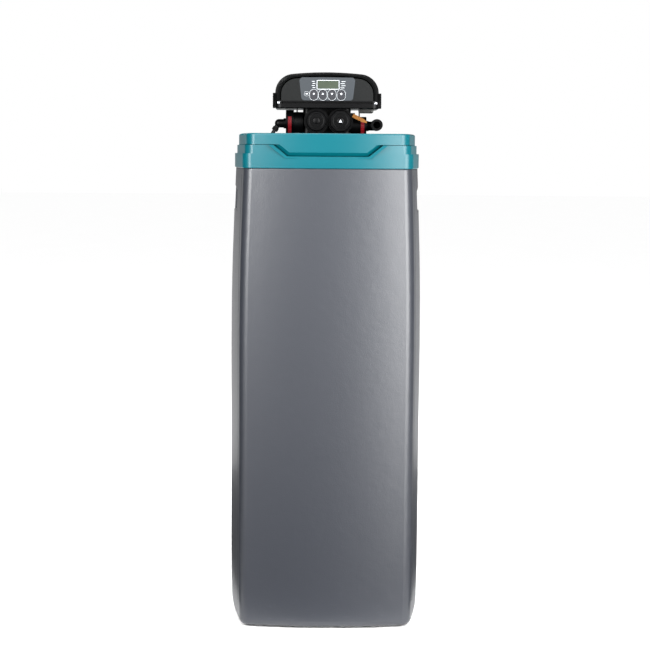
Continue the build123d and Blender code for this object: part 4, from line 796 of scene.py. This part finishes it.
# %% [markdown]
# ## Grips
# Whatever a hand turns has something to hold: ribs on the round cap, flutes on the union nuts, fine
# ridges on the levers and on the cover's latch ears. They are half-sunk round bars, which catch a line
# of light each and look like the real moulded ribs at a tenth of the faces.

# %% Put ribs on the caps, the union nuts, the levers and the ears
cap_z = 0.8405
injector_cap_x = -0.0184
flow_cap_x = 0.0236
cap_rib_sizes = {"count": 30, "radius": 0.0174, "rib": 0.0007, "length": 0.0058}
cap_rib_y = -0.0014
cap_ring_y = -0.0060
cap_ring_sizes = {"Count": 1, "Radius": 0.0128, "Ring": 0.0005}
cap_boss_profile = ((-0.0060, 0.0058), (-0.0068, 0.0056), (-0.0071, 0.0050), (-0.0071, 0.0),
                    (-0.0055, 0.0), (-0.0055, 0.0058))
cap_boss_steps = 32
nut_rib_sizes = {"count": 28, "radius": 0.0189, "rib": 0.0009, "length": 0.017}
nut_y = 0.158
full_circle = 2 * pi


def rib_circle(count, radius, rib, length, place, turn, slot_name="black_plastic"):
    """Ribs all the way round an axis."""
    return grown(ribs, slot_name, Count=count, Radius=radius, Rib=rib, Length=length,
                 Step=full_circle / count, Place=place, Turn=turn)


cap_ribs = [rib_circle(place=(injector_cap_x, cap_rib_y, cap_z), turn=facing_rear, **cap_rib_sizes)]
for cap_x in (injector_cap_x, flow_cap_x):
    cap_ribs.append(grown(rings, "black_plastic", Place=(cap_x, cap_ring_y, cap_z), Turn=facing_rear,
                          **cap_ring_sizes))
    cap_ribs.append(lathed(cap_boss_profile, (cap_x, 0.0, cap_z), "Y", cap_boss_steps))
keep("cap_grips", cap_ribs, "softener", "black_plastic")

nut_ribs = [rib_circle(place=(side * tail_x, nut_y, port_z), turn=facing_rear, **nut_rib_sizes)
            for side in (-1, 1)]
keep("nut_flutes", nut_ribs, "softener", "black_plastic")

ridge_turn = (0.0, quarter, 0.0)
branch_y = 0.032
# Body, place across, place up and radius of the grip.
lever_places = (("brine_lever", -0.065, 0.8395, 0.0248), ("drain_lever", 0.0625, 0.8327, 0.0203))
ridge_sizes = {"Count": 9, "Rib": 0.0005, "Length": 0.0056, "First": radians(-104), "Step": radians(8.2)}
for lever, lever_x, lever_z, grip_radius in lever_places:
    ridges = grown(ribs, "red_plastic", Radius=grip_radius, Place=(lever_x, branch_y, lever_z),
                   Turn=ridge_turn, **ridge_sizes)
    keep(lever + "_ridges", [ridges], lever, "red_plastic")


def rows_tree():
    """Round bars side by side along the local X axis, each lying along the local Y axis."""
    growth = Growth("bars_in_a_row", Count=5, Pitch=0.003, Bar=0.0005, Length=0.02)
    line = growth.line(across=growth.size("Pitch"))
    return growth.end(growth.copies(line, growth.bar("Bar"), (quarter, 0.0, 0.0)))


rows = rows_tree()
upwards = (0.0, -quarter, 0.0)
ear_x, ear_y, ear_z = 0.0947, 0.023, 0.867
ear_ridge_sizes = {"Count": 6, "Pitch": 0.0032, "Bar": 0.0005, "Length": 0.024}
ear_ridges = [grown(rows, "smoke_black", Place=(side * ear_x, ear_y, ear_z), Turn=upwards, **ear_ridge_sizes)
              for side in (-1, 1)]
keep("ear_ridges", ear_ridges, "head_cover", "smoke_black")

# %% [markdown]
# ## Fittings at the back
# The overflow spigot has rings that hold a hose by friction, and the cable gland has a ribbed cap and a
# rubber lip. Nothing of them shows in the photograph, so they follow common fittings of this size.

# %% Ring the spigot and rib the gland
lowest_ring = (0.092, 0.260, 0.6225)
spigot_ring_sizes = {"Count": 4, "Pitch": 0.004, "Radius": 0.0088, "Ring": 0.0005}
spigot_rings = grown(rings, "black_plastic", Place=lowest_ring, **spigot_ring_sizes)
keep("spigot_rings", [spigot_rings], "softener", "black_plastic")

gland_x, gland_z = -0.058, 0.870
gland_rib_y, gland_lip_y = 0.149, 0.1558
gland_rib_sizes = {"count": 16, "radius": 0.0069, "rib": 0.0005, "length": 0.010}
gland_lip_sizes = {"Count": 1, "Radius": 0.0042, "Ring": 0.0006}
gland_ribs = rib_circle(place=(gland_x, gland_rib_y, gland_z), turn=facing_rear, **gland_rib_sizes)
keep("gland_ribs", [gland_ribs], "softener", "black_plastic")
gland_lip = grown(rings, "rubber", Place=(gland_x, gland_lip_y, gland_z), Turn=facing_rear, **gland_lip_sizes)
keep("gland_lip", [gland_lip], "softener", "rubber")

# %% [markdown]
# ## Screws
# All the screws share one form, a low round head with a six-lobed socket. It is turned as a template
# and a tree copies it to every screw's place. The tray's screws stand upright under the cover, the
# board's screws are short and face the rear, and the two flatter ones show at the tray's front corners.

# %% Turn one screw and copy it
screw_profile = ((0.0, 0.0032), (0.0008, 0.0032), (0.0015, 0.0029), (0.0019, 0.0022), (0.0020, 0.0015),
                 (0.0009, 0.0013), (0.0009, 0.0), (-0.0088, 0.0), (-0.0090, 0.0012), (-0.0086, 0.0016),
                 (0.0, 0.0016))
short_end = -0.0012
flat_height_share = 0.5
flat_radius_share = 0.7
screw_steps = 36
screw_lobes = 6
short_profile = tuple((max(place, short_end), radius) for place, radius in screw_profile)
flat_profile = tuple((place * flat_height_share, radius * flat_radius_share)
                     for place, radius in short_profile)


def screw_template(name, profile):
    """An unlinked object that holds a turned screw for a tree to copy."""
    return bpy.data.objects.new(name, lathed(profile, (0.0, 0.0, 0.0), "Z", screw_steps, screw_lobes))


def spots_tree():
    """A template at every point, each turned by itself before it is placed."""
    growth = Growth("turned_copies")
    copies = growth.copies(growth.size("Geometry"), growth.template(), growth.size("Turn"))
    return growth.end_in_place(copies)


spots = spots_tree()
tray_spots = [(side * 0.03848, place, 0.865) for side in (-1, 1) for place in (0.033, 0.128)]
board_spots = [(side * 0.0548, -0.0013, height) for side in (-1, 1) for height in (0.8835, 0.909)]
corner_spots = [(side * 0.0845, -0.0121, 0.8715) for side in (-1, 1)]
long_screw = screw_template("long_screw", screw_profile)
short_screw = screw_template("short_screw", short_profile)
flat_screw = screw_template("flat_screw", flat_profile)
facing_front = (quarter, 0.0, 0.0)
screws = [grown(spots, "steel", tray_spots, Template=long_screw),
          grown(spots, "steel", board_spots, Template=short_screw, Turn=facing_rear)]
keep("head_screws_detailed", screws, "softener", "steel", "head_screws")
flat_screws = grown(spots, "steel", corner_spots, Template=flat_screw, Turn=facing_front)
keep("corner_screws", [flat_screws], "softener", "motor_metal")

# %% [markdown]
# ## The printed overlay
# The film on the head carries a pale print: a frame round the display, an outline round each key, a
# small oval and short dashes beside the display. Print is only ink, so each mark is a band or a patch
# a few hundredths of a millimetre thick that lies on the film.

# %% Draw rounded bands and patches


def rounded_loop(centre, half_width, half_height, corner, steps=8):
    """Rounded rectangle as (across, up) pairs, anticlockwise. A large corner gives an oval."""
    points = []
    for quarter_number, (side, rise) in enumerate(((1, 1), (-1, 1), (-1, -1), (1, -1))):
        for step in range(steps + 1):
            angle = pi / 2 * (quarter_number + step / steps)
            points.append((centre[0] + side * (half_width - corner) + corner * cos(angle),
                           centre[1] + rise * (half_height - corner) + corner * sin(angle)))
    return points


def patch(outer, front_y, thickness, inner=None):
    """Flat plate that faces the front, or a band where there is an inner loop of as many points."""
    shape = bmesh.new()
    loops = []
    for points in (outer, inner) if inner else (outer,):
        for depth in (front_y, front_y + thickness):
            loops.append([shape.verts.new((across, depth, up)) for across, up in points])
    count = len(outer)
    pairs = [(loops[0], loops[1])]
    if inner:
        pairs += [(loops[2], loops[3]), (loops[0], loops[2]), (loops[1], loops[3])]
    else:
        shape.faces.new(loops[0])
        shape.faces.new(loops[1])
    for first, second in pairs:
        for step in range(count):
            after = (step + 1) % count
            shape.faces.new((first[step], first[after], second[after], second[step]))
    plain = bpy.data.meshes.new("patch")
    shape.to_mesh(plain)
    shape.free()
    return plain


def band(centre, half_width, half_height, corner, line):
    """Printed outline of one width round a centre."""
    return patch(rounded_loop(centre, half_width, half_height, corner), film_front, ink,
                 rounded_loop(centre, half_width - line, half_height - line, corner - line))


ink = 0.00006
film_front = -0.0100 - ink
display_centre = (0.0013, 0.9029)
key_xs = (-0.0233, -0.0077, 0.0082, 0.0244)
key_z = 0.8855
oval_centre = (-0.0355, 0.8872)
dash_rows = 4
dash_low = 0.8978
dash_pitch = 0.0036
# For each side: middle, shift of every second dash and half a dash's length.
dash_sides = ((-0.0232, -0.0012, 0.0026), (0.0266, 0.0014, 0.0036))
dash_half_height = 0.0004
dash_corner = 0.0003
dash_steps = 3
marks = [band(display_centre, 0.0196, 0.0080, 0.0016, 0.0009)]
marks += [band((key_x, key_z), 0.0075, 0.0096, 0.0075, 0.0004) for key_x in key_xs]
marks.append(band(oval_centre, 0.0046, 0.0040, 0.0040, 0.0003))
marks.append(patch(rounded_loop(oval_centre, 0.0020, 0.0009, 0.0004), film_front, ink))
for row in range(dash_rows):
    for middle, shift, half in dash_sides:
        dash_centre = (middle + (row % 2) * shift, dash_low + row * dash_pitch)
        dash = rounded_loop(dash_centre, half, dash_half_height, dash_corner, dash_steps)
        marks.append(patch(dash, film_front, ink))
keep("overlay_print", marks, "softener", "white_ink")

# %% [markdown]
# ## Signs on the keys and on the right cap
# The keys' signs ride on the keys, so that they move when a key is pressed. The right cap carries a
# plain triangle.

# %% Print a plain sign on each key
sign_half = 0.0021
sign_flat = sign_half * 0.6
sign_dot = sign_half * 0.7
sign_rise = 0.0018


def key_sign(number, across, up):
    """Loop of one of four generic signs: a dot, up, down and a diamond."""
    left, right = across - sign_half, across + sign_half
    if number == 1:
        return [(left, up - sign_flat), (right, up - sign_flat), (across, up + sign_half)]
    if number == 2:
        return [(left, up + sign_flat), (across, up - sign_half), (right, up + sign_flat)]
    if number == 3:
        return [(left, up), (across, up - sign_half), (right, up), (across, up + sign_half)]
    return rounded_loop((across, up), sign_dot, sign_dot, sign_dot)


key_front = -0.0108 - ink
for number, key_x in enumerate(key_xs):
    sign = patch(key_sign(number, key_x, key_z + sign_rise), key_front, ink)
    keep(f"key_sign_{number + 1}", [sign], f"button_{number + 1}", "white_ink")

# %% Mark the flow cap with a plain triangle
arrow_front = -0.0072
arrow_thickness = 0.0003
arrow_half = 0.0030
arrow_drop = 0.0024
arrow = [(flow_cap_x - arrow_half, cap_z - arrow_drop), (flow_cap_x + arrow_half, cap_z - arrow_drop),
         (flow_cap_x, cap_z + arrow_half)]
keep("flow_arrow", [patch(arrow, arrow_front, arrow_thickness)], "softener", "white_ink")

# %% [markdown]
# ## The board's components
# With the cover lifted, the rear of the circuit board shows. A bare green plate would look like a
# stand-in, so it gets what such a board carries: a controller and a driver with rows of legs, a relay,
# capacitors and a connector. The legs are one tree that repeats a pin along a line.

# %% Set components on the rear of the board
board_rear = -0.0013


def soft_box(centre, size, edge=0.0004):
    """Box with rounded edges."""
    shape = bmesh.new()
    bmesh.ops.create_cube(shape, size=1.0)
    for vert in shape.verts:
        vert.co = Vector(centre) + Vector(side * length for side, length in zip(vert.co, size))
    bmesh.ops.bevel(shape, geom=list(shape.edges), offset=edge, segments=2, profile=0.5, affect="EDGES")
    plain = bpy.data.meshes.new("soft_box")
    shape.to_mesh(plain)
    shape.free()
    return plain


# Place across, place up, half the width and half the height.
chips = ((-0.022, 0.893, 0.011, 0.009), (0.020, 0.889, 0.008, 0.006), (0.036, 0.905, 0.007, 0.0045))
chip_y = board_rear + 0.0011
chip_thickness = 0.0020
relay_place = (-0.044, board_rear + 0.0055, 0.898)
relay_size = (0.012, 0.0108, 0.016)
relay_edge = 0.0006
chip_meshes = [soft_box((chip_x, chip_y, chip_z), (half_x * 2, chip_thickness, half_z * 2))
               for chip_x, chip_z, half_x, half_z in chips]
chip_meshes.append(soft_box(relay_place, relay_size, relay_edge))
keep("board_chips", chip_meshes, "softener", "black_plastic")

leg_y = board_rear + 0.0004
leg_pitch = 0.0013
leg_inset = 0.0010
pin_start = (0.0010, board_rear + 0.0040, 0.9085)
pin_sizes = {"Count": 6, "Pitch": 0.0025, "Bar": 0.0004, "Length": 0.009}
legs = []
for chip_x, chip_z, half_x, half_z in chips:
    for rise in (-1, 1):
        leg_start = (chip_x - half_x + leg_inset, leg_y, chip_z + rise * half_z)
        legs.append(grown(rows, "steel", Count=int(half_x * 2 / leg_pitch), Pitch=leg_pitch, Bar=0.00035,
                          Length=0.0018, Place=leg_start))
legs.append(grown(rows, "steel", Place=pin_start, **pin_sizes))
keep("board_legs", legs, "softener", "steel")

can_profile = ((0.0, 0.0031), (0.0088, 0.0031), (0.0094, 0.0026), (0.0092, 0.0), (0.0, 0.0))
can_steps = 28
can_places = ((0.004, 0.886), (-0.006, 0.886), (0.048, 0.889))
cans = [lathed(can_profile, (can_x, board_rear, can_z), "Y", can_steps) for can_x, can_z in can_places]
keep("board_capacitors", cans, "softener", "motor_metal")
plug_place = (0.0072, board_rear + 0.0036, 0.9085)
plug_size = (0.018, 0.0070, 0.0056)
keep("board_connector", [soft_box(plug_place, plug_size)], "softener", "white_plastic")

# %% [markdown]
# ## The cabinet's parting line
# Blow moulding squeezes a hose of hot plastic between two halves of a mould, and where they met, a
# fine line runs up each front corner. The corner isn't straight, because the walls bulge, so the line
# is a straight curve that a tree casts sideways onto the cabinet before it gives it a thin section.

# %% Cast the parting line onto the corners


def seam_tree():
    """A thin bead on the template's surface, found by casting an upright line along one direction."""
    growth = Growth("surface_seam", Low=0.04, High=0.75, Bead=0.0003, Reach=0.3)
    line = growth.node("GeometryNodeCurvePrimitiveLine", None,
                       {"Start": growth.vector(0.0, 0.0, growth.size("Low")),
                        "End": growth.vector(0.0, 0.0, growth.size("High"))})
    fine = growth.node("GeometryNodeResampleCurve", None, {"Curve": line, "Count": 90})
    here = growth.node("GeometryNodeInputPosition")
    start = growth.node("ShaderNodeVectorMath", {"operation": "ADD"}, {0: here, 1: growth.size("Place")})
    away = growth.node("ShaderNodeVectorMath", {"operation": "MULTIPLY"},
                       {0: growth.size("Place"), 1: (-1.0, -1.0, 0.0)})
    found = growth.node("GeometryNodeRaycast", {"data_type": "FLOAT"},
                        {"Target Geometry": growth.template(), "Source Position": start,
                         "Ray Direction": away, "Ray Length": growth.size("Reach")}, output="Hit Position")
    laid = growth.node("GeometryNodeSetPosition", None, {"Geometry": fine, "Position": found})
    return growth.end_in_place(growth.swept(laid, 6, "Bead"))


seam_cast = (0.22, -0.308)
seam = seam_tree()
seams = [grown(seam, "cabinet_grey", Template=frame["nodes"]["cabinet"],
               Place=(side * seam_cast[0], seam_cast[1], 0.0)) for side in (-1, 1)]
seam_heights = [vertex.co.z for mesh in seams for vertex in mesh.vertices]
print("parting line from", round(min(seam_heights), 3), "to", round(max(seam_heights), 3), "m high")
keep("parting_lines", seams, "softener", "cabinet_grey")
